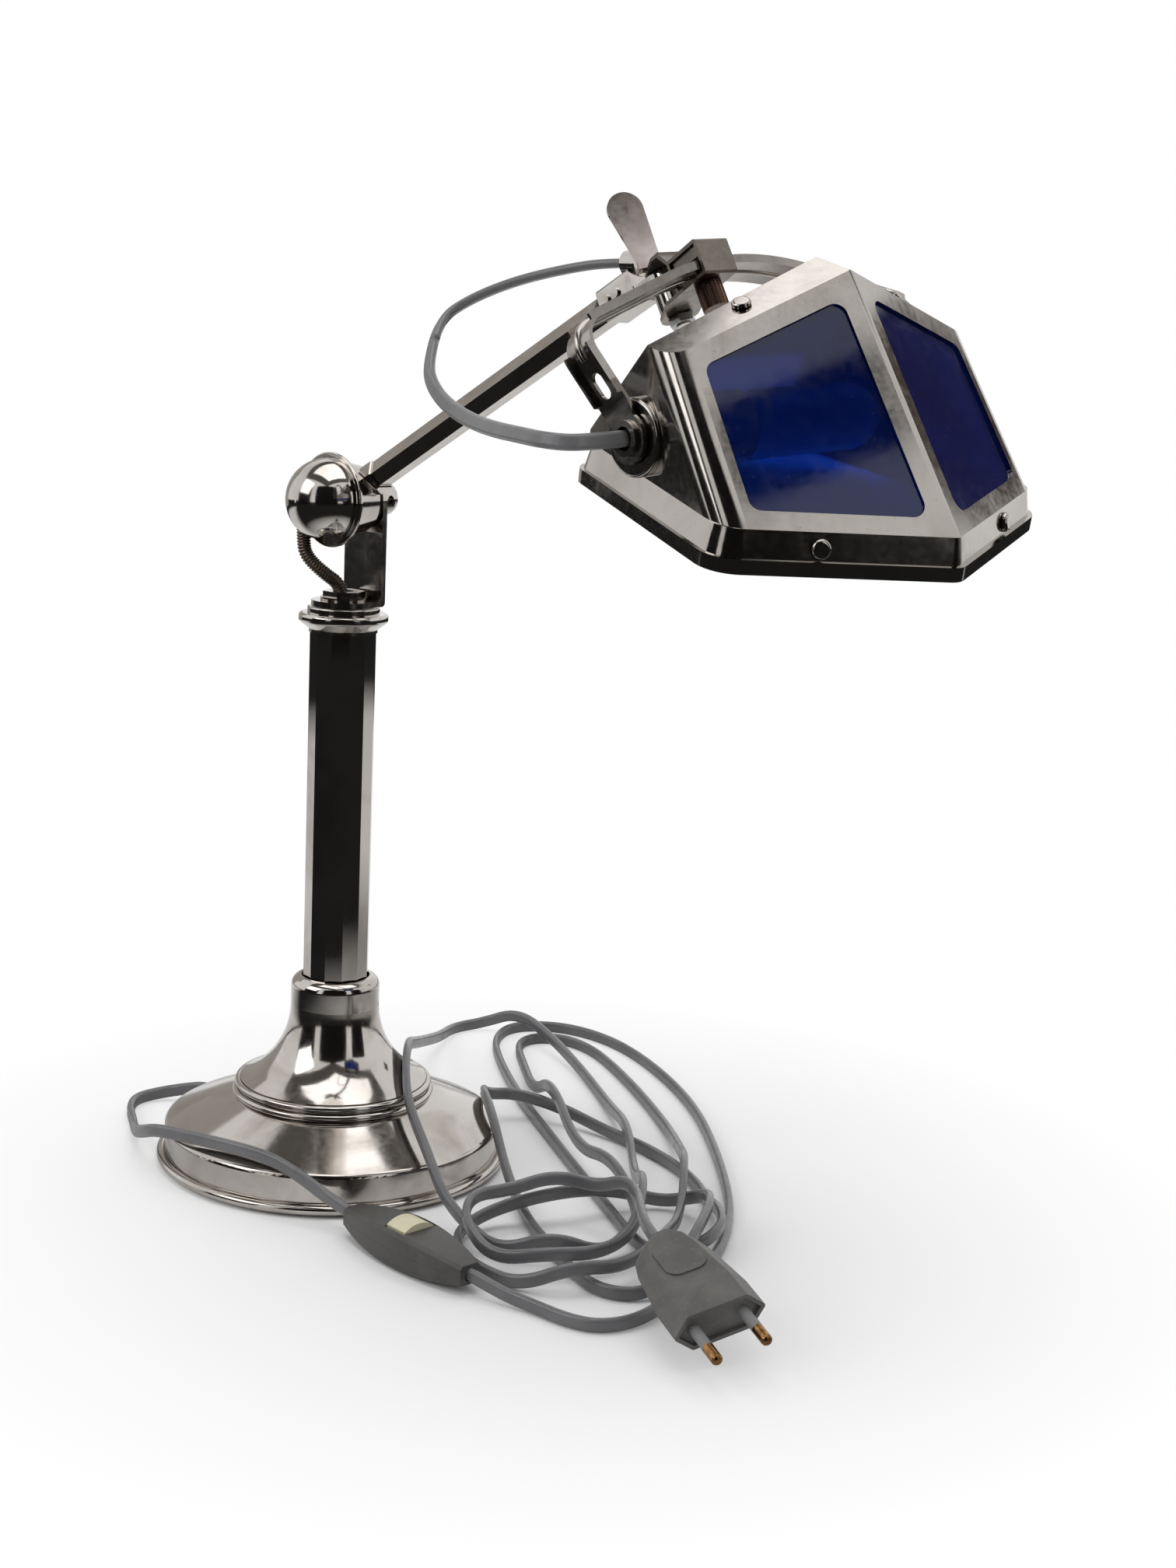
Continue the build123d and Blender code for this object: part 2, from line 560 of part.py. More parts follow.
# Arm: a hexagonal tube with a sleeve at its root and a knuckle at its end
with BuildPart() as arm_tube:
    with BuildSketch(within(ARM_SIDE, origin=(0, 0, ARM_START))):
        RegularPolygon(radius=ARM_FLATS / 2, side_count=6, major_radius=False)
        RegularPolygon(radius=ARM_FLATS / 2 - ARM_WALL, side_count=6, major_radius=False, mode=Mode.SUBTRACT)
    extrude(amount=ARM_END - ARM_START)
arm_tube.part.label = "arm_tube"
export_step(arm_tube.part, "parts/arm_tube.step")

with BuildPart() as arm_sleeve:
    with BuildSketch(within(ARM_SIDE, origin=(0, 0, SLEEVE_START))):
        RegularPolygon(radius=SLEEVE_FLATS / 2, side_count=6, major_radius=False)
        RegularPolygon(radius=ARM_FLATS / 2 + 0.02, side_count=6, major_radius=False, mode=Mode.SUBTRACT)
    extrude(amount=SLEEVE_END - SLEEVE_START)
    chamfer(arm_sleeve.faces().sort_by(Axis(ARM.origin, ARM.x_dir))[-1].outer_wire().edges(), 0.4)
arm_sleeve.part.label = "arm_sleeve"
export_step(arm_sleeve.part, "parts/arm_sleeve.step")

# Knuckle: a block brazed on the arm's end, with a cord outlet on top and a tongue to the pivot
TONGUE_TOP = -1.3
TONGUE_BOTTOM = -15.3
OUTLET_RISE = 90.5      # over the ball
OUTLET = Plane(origin=(141.0, 0, BALL_Z + OUTLET_RISE), x_dir=(0, 1, 0), z_dir=(1, 0, 0))
OUTLET_RADIUS = 4.2
OUTLET_LENGTH = 6.8
with BuildPart() as arm_knuckle:
    with BuildSketch(within(ARM_SIDE, origin=(0, 0, KNUCKLE_START))):
        RectangleRounded(KNUCKLE_WIDTH, KNUCKLE_HEIGHT, 2.2)
    extrude(amount=KNUCKLE_END - KNUCKLE_START)
    with BuildSketch(within(ARM_SIDE, origin=(0, 0, KNUCKLE_START))):
        RegularPolygon(radius=ARM_FLATS / 2 + 0.02, side_count=6, major_radius=False)
    extrude(amount=ARM_END - KNUCKLE_START, mode=Mode.SUBTRACT)
    with BuildSketch(within(ARM_SIDE, origin=(0, 0, ARM_END))):
        Circle(ARM_FLATS / 2 - ARM_WALL)
    extrude(amount=6.0, mode=Mode.SUBTRACT)
    with BuildSketch(OUTLET):
        Circle(OUTLET_RADIUS)
    extrude(amount=OUTLET_LENGTH)
    with BuildSketch(OUTLET):
        Circle(CORD / 2 + 0.05)
    extrude(amount=OUTLET_LENGTH - 2.0, mode=Mode.SUBTRACT)
    with BuildSketch(within(ARM, origin=(0, 0, TONGUE_BOTTOM))):
        with Locations((HEAD_PIVOT, 0)):
            Circle(TONGUE_RADIUS)
    extrude(amount=TONGUE_TOP - TONGUE_BOTTOM)
    with BuildSketch(within(ARM, origin=(0, 0, TONGUE_TOP - 4.0))):
        with Locations(((HEAD_PIVOT + KNUCKLE_END) / 2, 0)):
            Rectangle(HEAD_PIVOT - KNUCKLE_END, 2 * TONGUE_RADIUS)
    extrude(amount=4.0)
    with BuildSketch(within(ARM, origin=(HEAD_PIVOT, 0, TONGUE_BOTTOM))):
        Circle(PIVOT_BOLT_RADIUS + RUNNING)
    extrude(amount=TONGUE_TOP - TONGUE_BOTTOM, mode=Mode.SUBTRACT)
arm_knuckle.part.label = "arm_knuckle"
export_step(arm_knuckle.part, "parts/arm_knuckle.step")

# Two small screws on the side of the knuckle
with BuildPart() as knuckle_screws:
    for along in (KNUCKLE_START + 3.6, KNUCKLE_START + 8.4):
        with BuildSketch(within(ARM, origin=(along, -KNUCKLE_WIDTH / 2, 0.6), x_dir=(1, 0, 0),
                                z_dir=(0, -1, 0))):
            Circle(1.7)
        extrude(amount=0.9)
knuckle_screws.part.label = "knuckle_screws"
export_step(knuckle_screws.part, "parts/knuckle_screws.step")

# Clip: a folded loop round the strap with two ears that hold the pivot bolt
CLIP = within(CROWN, origin=(0, CLIP_OFFSET, 0))
EAR_TOP = CROWN_DROP + TONGUE_TOP + SEAT        # underside of the upper ear
fold = CLIP_SHEET / 2
pivot_side = -YOKE_SIDE - CLIP_OFFSET
with BuildPart() as clip_box:
    with BuildSketch(within(CLIP, origin=(0, -CLIP_LENGTH / 2, 0), z_dir=(0, -1, 0))):
        with BuildLine():
            Polyline((-CLIP_ACROSS - 5.0, EAR_TOP + fold), (-CLIP_ACROSS - 3.0, EAR_TOP + fold),
                     (-CLIP_ACROSS + fold, CLIP_TOP - fold), (CLIP_ACROSS - fold, CLIP_TOP - fold),
                     (CLIP_ACROSS - fold, CLIP_BOTTOM + fold), (-CLIP_ACROSS + fold, CLIP_BOTTOM + fold),
                     (-CLIP_ACROSS + fold, CLIP_TOP - fold))
        trace(line_width=CLIP_SHEET)
    extrude(amount=-CLIP_LENGTH)
    for height in (EAR_TOP, CLIP_BOTTOM):
        with BuildSketch(within(CLIP, origin=(0, 0, height))):
            with Locations((-YOKE_OUT, pivot_side)):
                Circle(EAR_RADIUS)
            with Locations((-CLIP_ACROSS - 4.0, 0)):
                Rectangle(4.0, CLIP_LENGTH)
            make_hull()
            with Locations((-YOKE_OUT, pivot_side)):
                Circle(PIVOT_BOLT_RADIUS, mode=Mode.SUBTRACT)
        extrude(amount=CLIP_SHEET)
    with BuildSketch(within(CLIP, origin=(0, 0, CLIP_BOTTOM))):
        with Locations((-CLIP_ACROSS - 1.0, 0)):
            Rectangle(4.0, CLIP_LENGTH)
    extrude(amount=CLIP_SHEET)
    with BuildSketch(within(CLIP, origin=(0, 0, CLIP_BOTTOM - 1))):
        Circle(SCREW_RADIUS)
    extrude(amount=CLIP_SHEET + 2, mode=Mode.SUBTRACT)
    front = Axis(CLIP.origin, CLIP.x_dir)
    fillet(clip_box.edges().filter_by(Axis(CLIP.origin, CLIP.y_dir)).group_by(front)[-1], 1.1)
clip_box.part.label = "clip_box"
export_step(clip_box.part, "parts/clip_box.step")

# Saddle between the strap's edges and the roof of the clip
SADDLE_TOP = CLIP_TOP - CLIP_SHEET - 0.1
SADDLE_HEIGHT = 3.9
SADDLE_WIDTH = 12.4
with BuildPart() as clip_saddle:
    with BuildSketch(within(CLIP, origin=(-SADDLE_WIDTH / 2, 0, SADDLE_TOP), x_dir=(0, 1, 0), z_dir=(1, 0, 0))):
        Rectangle(CLIP_LENGTH - 2.0, SADDLE_HEIGHT, align=(Align.CENTER, Align.MAX))
    extrude(amount=SADDLE_WIDTH)
clip_saddle.part.label = "clip_saddle"
export_step(clip_saddle.part, "parts/clip_saddle.step")

# Thumbscrew under the clip
SCREW_TIP = -7.0        # just under the strap
with BuildPart() as clip_thumbscrew:
    with BuildSketch(within(CLIP, origin=(0, 0, SCREW_TIP), x_dir=(1, 0, 0), z_dir=(0, 0, -1))):
        Circle(SCREW_RADIUS - RUNNING)
    extrude(amount=SCREW_TIP - CLIP_BOTTOM + SEAT + 1.0)
    with BuildSketch(within(CLIP, origin=(0, 0, CLIP_BOTTOM - SEAT), x_dir=(1, 0, 0), z_dir=(0, 0, -1))):
        Circle(SCREW_HEAD_RADIUS)
        with PolarLocations(SCREW_HEAD_RADIUS + 0.15, 18):
            Circle(0.45, mode=Mode.SUBTRACT)
    extrude(amount=SCREW_HEAD_LENGTH)
clip_thumbscrew.part.label = "clip_thumbscrew"
export_step(clip_thumbscrew.part, "parts/clip_thumbscrew.step")

# Bolt through the ears and the tongue, its nut below
BOLT_TOP = TONGUE_TOP + SEAT + CLIP_SHEET
with BuildPart() as head_bolt:
    with BuildSketch(within(PIVOT, origin=(0, 0, CLIP_BOTTOM - CROWN_DROP - 3.6))):
        Circle(PIVOT_BOLT_RADIUS)
    extrude(amount=BOLT_TOP + 2.6 - CLIP_BOTTOM + CROWN_DROP + 3.6)
    with BuildSketch(within(PIVOT, origin=(0, 0, BOLT_TOP + 1.9))):
        Circle(3.6)
    extrude(amount=1.4)
    fillet(head_bolt.edges().filter_by(GeomType.CIRCLE).sort_by(Axis(PIVOT.origin, PIVOT.z_dir))[-1], 0.8)
head_bolt.part.label = "head_bolt"
export_step(head_bolt.part, "parts/head_bolt.step")
head_nut = hex_nut(within(PIVOT, origin=(0, 0, CLIP_BOTTOM - CROWN_DROP - 3.1)), PIVOT_BOLT_RADIUS, 8.0, 3.0)
head_nut.label = "head_nut"
export_step(head_nut, "parts/head_nut.step")

# Thumb lever: a flat eye on the bolt and an upright spoon bent up from it
LEVER_TURN = 58.6       # degrees from the arm to the way the spoon faces
lever_angle = radians(LEVER_TURN - 90)
LEVER = within(PIVOT, origin=(0, 0, BOLT_TOP + SEAT), x_dir=(cos(lever_angle), sin(lever_angle), 0))
LEVER_SIDE = -6.4       # middle of the spoon beside the bolt
LEVER_FOOT = 2.4        # middle of the strip between the eye and the spoon
LEVER_FOOT_WIDTH = 4.4
LEVER_FOOT_LENGTH = 9.8
with BuildPart() as thumb_lever:
    with BuildSketch(LEVER):
        Circle(5.4)
        with Locations((LEVER_FOOT, 0)):
            Rectangle(LEVER_FOOT_WIDTH, LEVER_FOOT_LENGTH, align=(Align.CENTER, Align.MAX))
        Circle(PIVOT_BOLT_RADIUS + RUNNING, mode=Mode.SUBTRACT)
    extrude(amount=LEVER_SHEET)
    with BuildSketch(within(LEVER, origin=(3.4, 0, 0), x_dir=(0, 1, 0), z_dir=(1, 0, 0))):
        with Locations((LEVER_SIDE - 1.0, LEVER_TIP - LEVER_WIDTH / 2 - BOLT_TOP)):
            Circle(LEVER_WIDTH / 2)
        with Locations((LEVER_SIDE + 0.6, 4.0)):
            Circle(4.2)
        make_hull()
        with Locations((LEVER_SIDE + 0.8, 2.0)):
            Rectangle(8.4, 4.0)
    extrude(amount=LEVER_SHEET)
thumb_lever.part.label = "thumb_lever"
export_step(thumb_lever.part, "parts/thumb_lever.step")


def moved_out(points, shift):
    """Shift an open outline of straight runs sideways by the same distance."""
    result = []
    for index, point in enumerate(points):
        before = points[max(index - 1, 0)]
        after = points[min(index + 1, len(points) - 1)]
        first = Vector(*point) - Vector(*before) if index else Vector(*after) - Vector(*point)
        second = Vector(*after) - Vector(*point) if index < len(points) - 1 else first
        left, right = first.normalized().rotate(Axis.Z, 90), second.normalized().rotate(Axis.Z, 90)
        mitre = (left + right) / (1 + left.dot(right))
        result.append((point[0] + mitre.X * shift, point[1] + mitre.Y * shift))
    return result


# Yoke: one strap bent over the shade, with turned-up edges, a middle bead,
# an oval hole in each leg and a round eye at each end
STRAP_POINTS = [(-YOKE_EYE, 0), (-YOKE_EYE, YOKE_EYE_TOP), (-YOKE_HALF, YOKE_SHOULDER), (0, CROWN_HEIGHT),
                (YOKE_HALF, YOKE_SHOULDER), (YOKE_EYE, YOKE_EYE_TOP), (YOKE_EYE, 0)]
STRAP_RADII = [12.0, 9.0, CROWN_RADIUS, 9.0, 12.0]
STRAP_FACE = within(YOKE, x_dir=(0, 1, 0), z_dir=(1, 0, 0))
HOLE_UP = 17.6
with BuildPart() as yoke_strap:
    with BuildSketch(STRAP_FACE):
        with BuildLine():
            FilletPolyline(*STRAP_POINTS, radius=STRAP_RADII)
        trace(line_width=STRAP_SHEET)
    extrude(amount=STRAP_WIDTH / 2, both=True)
    lip_line = moved_out(STRAP_POINTS, (STRAP_LIP - STRAP_SHEET) / 2)
    for edge in (-1, 1):
        with BuildSketch(STRAP_FACE.offset(edge * (STRAP_WIDTH / 2 - 0.5))):
            with BuildLine():
                FilletPolyline(*lip_line, radius=STRAP_RADII)
            trace(line_width=STRAP_LIP)
            for side in (-1, 1):
                with Locations((side * (YOKE_HALF + 1.5), YOKE_SHOULDER + 0.5)):
                    Circle(6.5, mode=Mode.SUBTRACT)
                with Locations((side * (YOKE_EYE + 3.0), YOKE_EYE_TOP - 6.0)):
                    Circle(9.5, mode=Mode.SUBTRACT)
        extrude(amount=0.5, both=True)
    bead_line = moved_out([(-YOKE_HALF + 2.9, YOKE_SHOULDER - 9.0)] + STRAP_POINTS[2:5]
                          + [(YOKE_HALF - 2.9, YOKE_SHOULDER - 9.0)], STRAP_SHEET / 2 - 0.3)
    with BuildLine(STRAP_FACE) as bead_path:
        FilletPolyline(*bead_line, radius=STRAP_RADII[1:4])
    with BuildSketch(Plane(origin=bead_path.line @ 0, z_dir=bead_path.line % 0)):
        Circle(BEAD_RADIUS)
    sweep(path=bead_path.line)
    for side in (-1, 1):
        with BuildSketch(within(YOKE, origin=(0, side * YOKE_EYE, 0), x_dir=(1, 0, 0), z_dir=(0, side, 0))):
            Circle(EYE_RADIUS)
        extrude(amount=STRAP_SHEET / 2, both=True)
        with BuildSketch(within(YOKE, origin=(0, side * YOKE_EYE, 0), x_dir=(1, 0, 0), z_dir=(0, side, 0))):
            Circle(EYELET_BARREL + RUNNING)
            with Locations((0, -side * HOLE_UP)):
                SlotOverall(8.4, 4.6, rotation=90)
        extrude(amount=12, both=True, mode=Mode.SUBTRACT)
yoke_strap.part.label = "yoke_strap"
export_step(yoke_strap.part, "parts/yoke_strap.step")


def facing_out(a, b, c):
    """The plane of three points, facing away from the middle of the shade."""
    normal = (b - a).cross(c - a)
    if normal.dot(shade_point((0, 0, 30)) - a) > 0:
        normal = normal * -1
    return Plane(origin=a, x_dir=b - a, z_dir=normal)


def shade_plane(first, second, third):
    return facing_out(shade_point(first), shade_point(second), shade_point(third))


def front_plane(side):
    return shade_plane(NOSE_FOOT, mirrored(FRONT_FOOT, side), NOSE_TOP)


def end_plane(side):
    return shade_plane(mirrored(TOP_CORNER, side), mirrored(FRONT_FOOT, side), mirrored(BACK_FOOT, side))


def roof_plane(side):
    return shade_plane(NOSE_TOP, mirrored(TOP_CORNER, side), RIDGE_BACK)


def meet(one, two, three):
    """The point that three planes share."""
    cross = two.z_dir.cross(three.z_dir)
    total = (cross * one.origin.dot(one.z_dir) + three.z_dir.cross(one.z_dir) * two.origin.dot(two.z_dir)
             + one.z_dir.cross(two.z_dir) * three.origin.dot(three.z_dir))
    return total / one.z_dir.dot(cross)


# Shade: flat faces meeting at a nose, an upright gable over a sloping back,
# closed above and open below, over a flared skirt with a rolled rim
gable = shade_plane(RIDGE_BACK, (10, RIDGE_BACK[1], RIDGE_BACK[2]), (0, GABLE_FOOT, TOP_CORNER[2]))
gable_ends = [meet(gable, roof_plane(side), end_plane(side)) for side in (-1, 1)]
back_slope = facing_out(gable_ends[0], gable_ends[1], shade_point(BACK_FOOT))
back_skirt = shade_plane(BACK_FOOT, mirrored(BACK_FOOT, -1), (0, BACK_SEAM, SKIRT_HEIGHT))
wrap_faces = [face(side) for face in (front_plane, end_plane, roof_plane) for side in (-1, 1)]
seam = SHADE.offset(SKIRT_HEIGHT)
seam_back = (BACK_FOOT[0] - 0.5, BACK_SEAM)
SEAM_OUTLINE = [(0, NOSE_FOOT[1]), FRONT_FOOT[:2], seam_back, (-seam_back[0], seam_back[1]),
                (-FRONT_FOOT[0], FRONT_FOOT[1])]


def seam_outline(height, grow):
    """The skirt's outline on a level of the shade, grown outwards, its front corners rounded."""
    corners = moved_out(SEAM_OUTLINE[-1:] + SEAM_OUTLINE + SEAM_OUTLINE[:1], grow)[1:-1]
    with BuildSketch(SHADE.offset(height)) as profile:
        Polygon(*corners, align=None)
        for corner, radius in zip(corners, (NOSE_RADIUS, CORNER_RADIUS, 4.0, 4.0, CORNER_RADIUS)):
            fillet(profile.vertices().sort_by_distance((corner[0], corner[1], 0))[0], radius + max(grow, 0))
    return profile.sketch


def lobe(cuts):
    """A block cut by the planes of its faces."""
    with BuildPart() as block:
        with BuildSketch(seam):
            Rectangle(200, 200)
        extrude(amount=80)
        for cut in cuts:
            split(bisect_by=cut, keep=Keep.BOTTOM)
    return block.part


def skirt_block(shrink):
    """The flared skirt as a solid, smaller all round by a wall."""
    with BuildPart() as block:
        add(seam_outline(SKIRT_HEIGHT, -shrink))
        add(seam_outline(0, SKIRT_FLARE - shrink))
        loft(ruled=True)
    return block.part


def band(height, thickness, outer, inner):
    """A flat ring that follows the skirt's outline."""
    with BuildPart() as ring:
        extrude(seam_outline(height, outer), amount=thickness)
        extrude(seam_outline(height, inner), amount=thickness, mode=Mode.SUBTRACT)
    return ring.part


def window(side, foot, nose, top, end):
    """The glass opening's corners on a front face, each edge moved in by its own margin."""
    face = front_plane(side)
    corners = [NOSE_FOOT, mirrored(FRONT_FOOT, side), mirrored(TOP_CORNER, side), NOSE_TOP]
    flat = [face.to_local_coords(shade_point(corner)) for corner in corners]
    middle = sum(flat, Vector()) / 4
    lines = []
    for index, margin in enumerate((foot, end, top, nose)):
        start, stop = flat[index], flat[(index + 1) % 4]
        inward = (stop - start).rotate(Axis.Z, 90).normalized()
        if inward.dot(middle - start) < 0:
            inward = inward * -1
        lines.append(Plane(origin=face.from_local_coords(start + inward * margin),
                           z_dir=face.from_local_coords(inward) - face.origin))
    return [face.to_local_coords(meet(face, lines[index - 1], lines[index])) for index in range(4)]


def window_sketch(side, grow, depth):
    """The opening grown by a lap, on a plane sunk below the front face."""
    corners = window(side, WINDOW_FOOT - grow, WINDOW_NOSE - grow, WINDOW_TOP - grow, WINDOW_SIDE - grow)
    with BuildSketch(front_plane(side).offset(-depth)) as opening:
        Polygon(*[(corner.X, corner.Y) for corner in corners[::side]], align=None)
        fillet(opening.vertices(), WINDOW_CORNER)
    return opening.sketch


PIVOT_LINE = within(HUNG, x_dir=(1, 0, 0), z_dir=(0, 1, 0))
with BuildPart() as shade_shell:
    add(lobe(wrap_faces + [gable]))
    add(lobe(wrap_faces + [back_slope, back_skirt]))
    for side in (-1, 1):
        corner = (shade_point(mirrored(TOP_CORNER, side)) + shade_point(mirrored(FRONT_FOOT, side))) / 2
        fillet(shade_shell.edges().sort_by_distance(corner)[0], CORNER_RADIUS)
    nose = (shade_point(NOSE_TOP) + shade_point(NOSE_FOOT)) / 2
    fillet(shade_shell.edges().sort_by_distance(nose)[0], NOSE_RADIUS)
    floor_face = shade_shell.faces().sort_by(Axis(SHADE.origin, SHADE.z_dir))[0]
    offset(amount=-SHADE_SHEET, openings=floor_face)
    add(skirt_block(0))
    add(skirt_block(SHADE_SHEET), mode=Mode.SUBTRACT)
    add(band(SKIRT_HEIGHT - SHADE_SHEET, SHADE_SHEET, 0, -SEAM_LEDGE))
    add(band(0, RIM_HEIGHT, SKIRT_FLARE + 0.4, SKIRT_FLARE - RIM_THICKNESS))
    for side in (-1, 1):
        extrude(window_sketch(side, 0, 3.0), amount=6.0, mode=Mode.SUBTRACT)
        with BuildSketch(PIVOT_LINE.offset(side * YOKE_HALF)):
            Circle(EYELET_BARREL + 0.05)
        extrude(amount=-side * 30.0, mode=Mode.SUBTRACT)
shade_shell.part.label = "shade_shell"
export_step(shade_shell.part, "parts/shade_shell.step")

# Glass panes behind the openings
for side, name in ((-1, "glass_left"), (1, "glass_right")):
    with BuildPart() as glass:
        extrude(window_sketch(side, GLASS_LAP, SHADE_SHEET + 0.1 + GLASS_THICKNESS), amount=GLASS_THICKNESS)
    glass.part.label = name
    export_step(glass.part, f"parts/{name}.step")

# Folded tabs that hold the glass against the front walls
with BuildPart() as glass_tabs:
    for side in (-1, 1):
        opening = window(side, WINDOW_FOOT, WINDOW_NOSE, WINDOW_TOP, WINDOW_SIDE)
        for first, second in ((1, 2), (2, 3)):
            middle = (opening[first] + opening[second]) / 2
            outward = (opening[second] - opening[first]).rotate(Axis.Z, 90).normalized()
            if outward.dot(middle - sum(opening, Vector()) / 4) < 0:
                outward = outward * -1
            face = front_plane(side)
            tab = within(face, origin=(middle.X, middle.Y, 0), x_dir=(outward.X, outward.Y, 0),
                         z_dir=(outward.Y, -outward.X, 0))
            low = SHADE_SHEET + GLASS_THICKNESS + TAB_SHEET
            high = SHADE_SHEET + TAB_SHEET / 2 + 0.14
            upright = GLASS_LAP + TAB_SHEET
            with BuildSketch(tab.offset(-TAB_WIDTH / 2)):
                with BuildLine():
                    Polyline((0, -low), (upright, -low), (upright, -high), (upright + TAB_FOOT, -high))
                trace(line_width=TAB_SHEET)
            extrude(amount=TAB_WIDTH)
glass_tabs.part.label = "glass_tabs"
export_step(glass_tabs.part, "parts/glass_tabs.step")


# Round bosses on the ends of the shade, trimmed to its sloping ends
def pivot_boss(side):
    """A round boss trimmed to one sloping end of the shade."""
    with BuildPart() as boss:
        with BuildSketch(PIVOT_LINE.offset(side * PIVOT_FACE)):
            Circle(BOSS_RADIUS)
            Circle(EYELET_BARREL + 0.05, mode=Mode.SUBTRACT)
        extrude(amount=-side * 14.0)
        rims = boss.edges().filter_by(GeomType.CIRCLE).filter_by(lambda e: e.radius > BOSS_RADIUS - 0.1)
        fillet(rims.sort_by_distance(PIVOT_LINE.offset(side * 99).origin)[0], 0.9)
        split(bisect_by=end_plane(side).offset(0.08), keep=Keep.TOP)
    return boss.part


with BuildPart() as pivot_bosses:
    for side in (-1, 1):
        add(pivot_boss(side))
pivot_bosses.part.label = "pivot_bosses"
export_step(pivot_bosses.part, "parts/pivot_bosses.step")

# Hollow eyelets that the yoke turns on, and the nuts on them inside the shade
EYELET_HEAD = YOKE_EYE + STRAP_SHEET / 2 + 0.1
with BuildPart() as pivot_eyelets:
    for side in (-1, 1):
        with BuildSketch(PIVOT_LINE.offset(side * EYELET_HEAD)):
            Circle(EYELET_RADIUS + 0.6)
        extrude(amount=side * 1.2)
        with BuildSketch(PIVOT_LINE.offset(side * EYELET_HEAD)):
            Circle(EYELET_BARREL)
        extrude(amount=-side * 14.0)
        with BuildSketch(PIVOT_LINE.offset(side * (EYELET_HEAD + 3.0))):
            Circle(EYELET_BORE)
        extrude(amount=-side * 20.0, mode=Mode.SUBTRACT)
pivot_eyelets.part.label = "pivot_eyelets"
export_step(pivot_eyelets.part, "parts/pivot_eyelets.step")

with BuildPart() as pivot_washers:
    for side in (-1, 1):
        with BuildSketch(PIVOT_LINE.offset(side * (PIVOT_FACE + 0.05))):
            Circle(7.0)
            Circle(EYELET_BARREL + RUNNING, mode=Mode.SUBTRACT)
        extrude(amount=side * (YOKE_EYE - STRAP_SHEET / 2 - PIVOT_FACE - 0.1))
pivot_washers.part.label = "pivot_washers"
export_step(pivot_washers.part, "parts/pivot_washers.step")

NUT_FACE = 54.5
with BuildPart() as pivot_nut:
    with BuildSketch(PIVOT_LINE.offset(NUT_FACE)):
        RegularPolygon(radius=6.0, side_count=6, major_radius=False)
        Circle(EYELET_BARREL, mode=Mode.SUBTRACT)
    extrude(amount=-2.6)
pivot_nut.part.label = "pivot_nut"
export_step(pivot_nut.part, "parts/pivot_nut.step")

# Lamp holder on the left eyelet, and its bulb
HOLDER_FACE = -53.4
HOLDER = PIVOT_LINE.offset(HOLDER_FACE)
lampholder_shell = turned(HOLDER, [
    (EYELET_BARREL, 0), (8.5, 0), (HOLDER_RADIUS - 1.5, 3.0), (HOLDER_RADIUS - 1.5, 14.0), (HOLDER_RADIUS, 14.5),
    (HOLDER_RADIUS, 17.5), (HOLDER_RADIUS - 1.0, 18.0), (HOLDER_RADIUS - 1.0, HOLDER_LENGTH),
    (HOLDER_RADIUS - 3.0, HOLDER_LENGTH), (HOLDER_RADIUS - 3.0, 4.5), (EYELET_BARREL, 4.5)])
lampholder_shell.label = "lampholder_shell"
export_step(lampholder_shell, "parts/lampholder_shell.step")
lampholder_core = turned(HOLDER, [
    (0, 8.0), (HOLDER_RADIUS - 3.1, 8.0), (HOLDER_RADIUS - 3.1, HOLDER_LENGTH - 2.0),
    (BULB_CAP_RADIUS + 0.4, HOLDER_LENGTH - 2.0), (BULB_CAP_RADIUS + 0.4, 11.0), (0, 11.0)])
lampholder_core.label = "lampholder_core"
export_step(lampholder_core, "parts/lampholder_core.step")
bulb_cap = turned(HOLDER, [
    (0, 11.3), (3.0, 11.3), (5.0, 13.0), (BULB_CAP_RADIUS, 14.0), (BULB_CAP_RADIUS, 31.0),
    (BULB_CAP_RADIUS + 1.0, 33.5), (0, 33.5)])
bulb_cap.label = "bulb_cap"
export_step(bulb_cap, "parts/bulb_cap.step")
BULB_START = 33.5
bulb_length = BULB_END - HOLDER_FACE
with BuildPart() as bulb_glass:
    with BuildSketch(within(HOLDER, z_dir=(0, -1, 0))):
        with BuildLine():
            glass_line = Polyline((0, BULB_START), (BULB_CAP_RADIUS + 0.5, BULB_START),
                                  (BULB_RADIUS, BULB_START + 8.0), (BULB_RADIUS, bulb_length - BULB_RADIUS))
            TangentArc(glass_line @ 1, (0, bulb_length), tangent=(0, 1))
            Line((0, bulb_length), (0, BULB_START))
        make_face()
    revolve(axis=Axis(HOLDER.origin, HOLDER.z_dir))
bulb_glass.part.label = "bulb_glass"
export_step(bulb_glass.part, "parts/bulb_glass.step")

# Round-headed screws of the shade: one in each roof slope, one in each front skirt
with BuildPart() as shade_screws:
    for side in (-1, 1):
        skirt_wall = shade_plane(NOSE_FOOT, mirrored(FRONT_FOOT, side), (0, NOSE_FOOT[1] + SKIRT_FLARE, 0))
        for wall, spot in ((roof_plane(side), (side * 31.6, -12.0, 66.0)), (skirt_wall, (side * 39.5, 45.0, 8.2))):
            flat = wall.to_local_coords(shade_point(spot))
            with BuildSketch(within(wall, origin=(flat.X, flat.Y, 0.35))):
                Circle(SHADE_SCREW_RADIUS)
            extrude(amount=1.5)
            fillet(shade_screws.edges().filter_by(GeomType.CIRCLE).sort_by_distance(
                wall.from_local_coords((flat.X, flat.Y, 30)))[0], 1.1)
shade_screws.part.label = "shade_screws"
export_step(shade_screws.part, "parts/shade_screws.step")


# Cords: each follows a list of points with tangent arcs between its straight runs
GAP_STEP = 1.0          # between the points where the gap of a cord to itself is measured
GAP_SKIP = 20.0         # stretch of cord on either side of a point that counts as the same turn


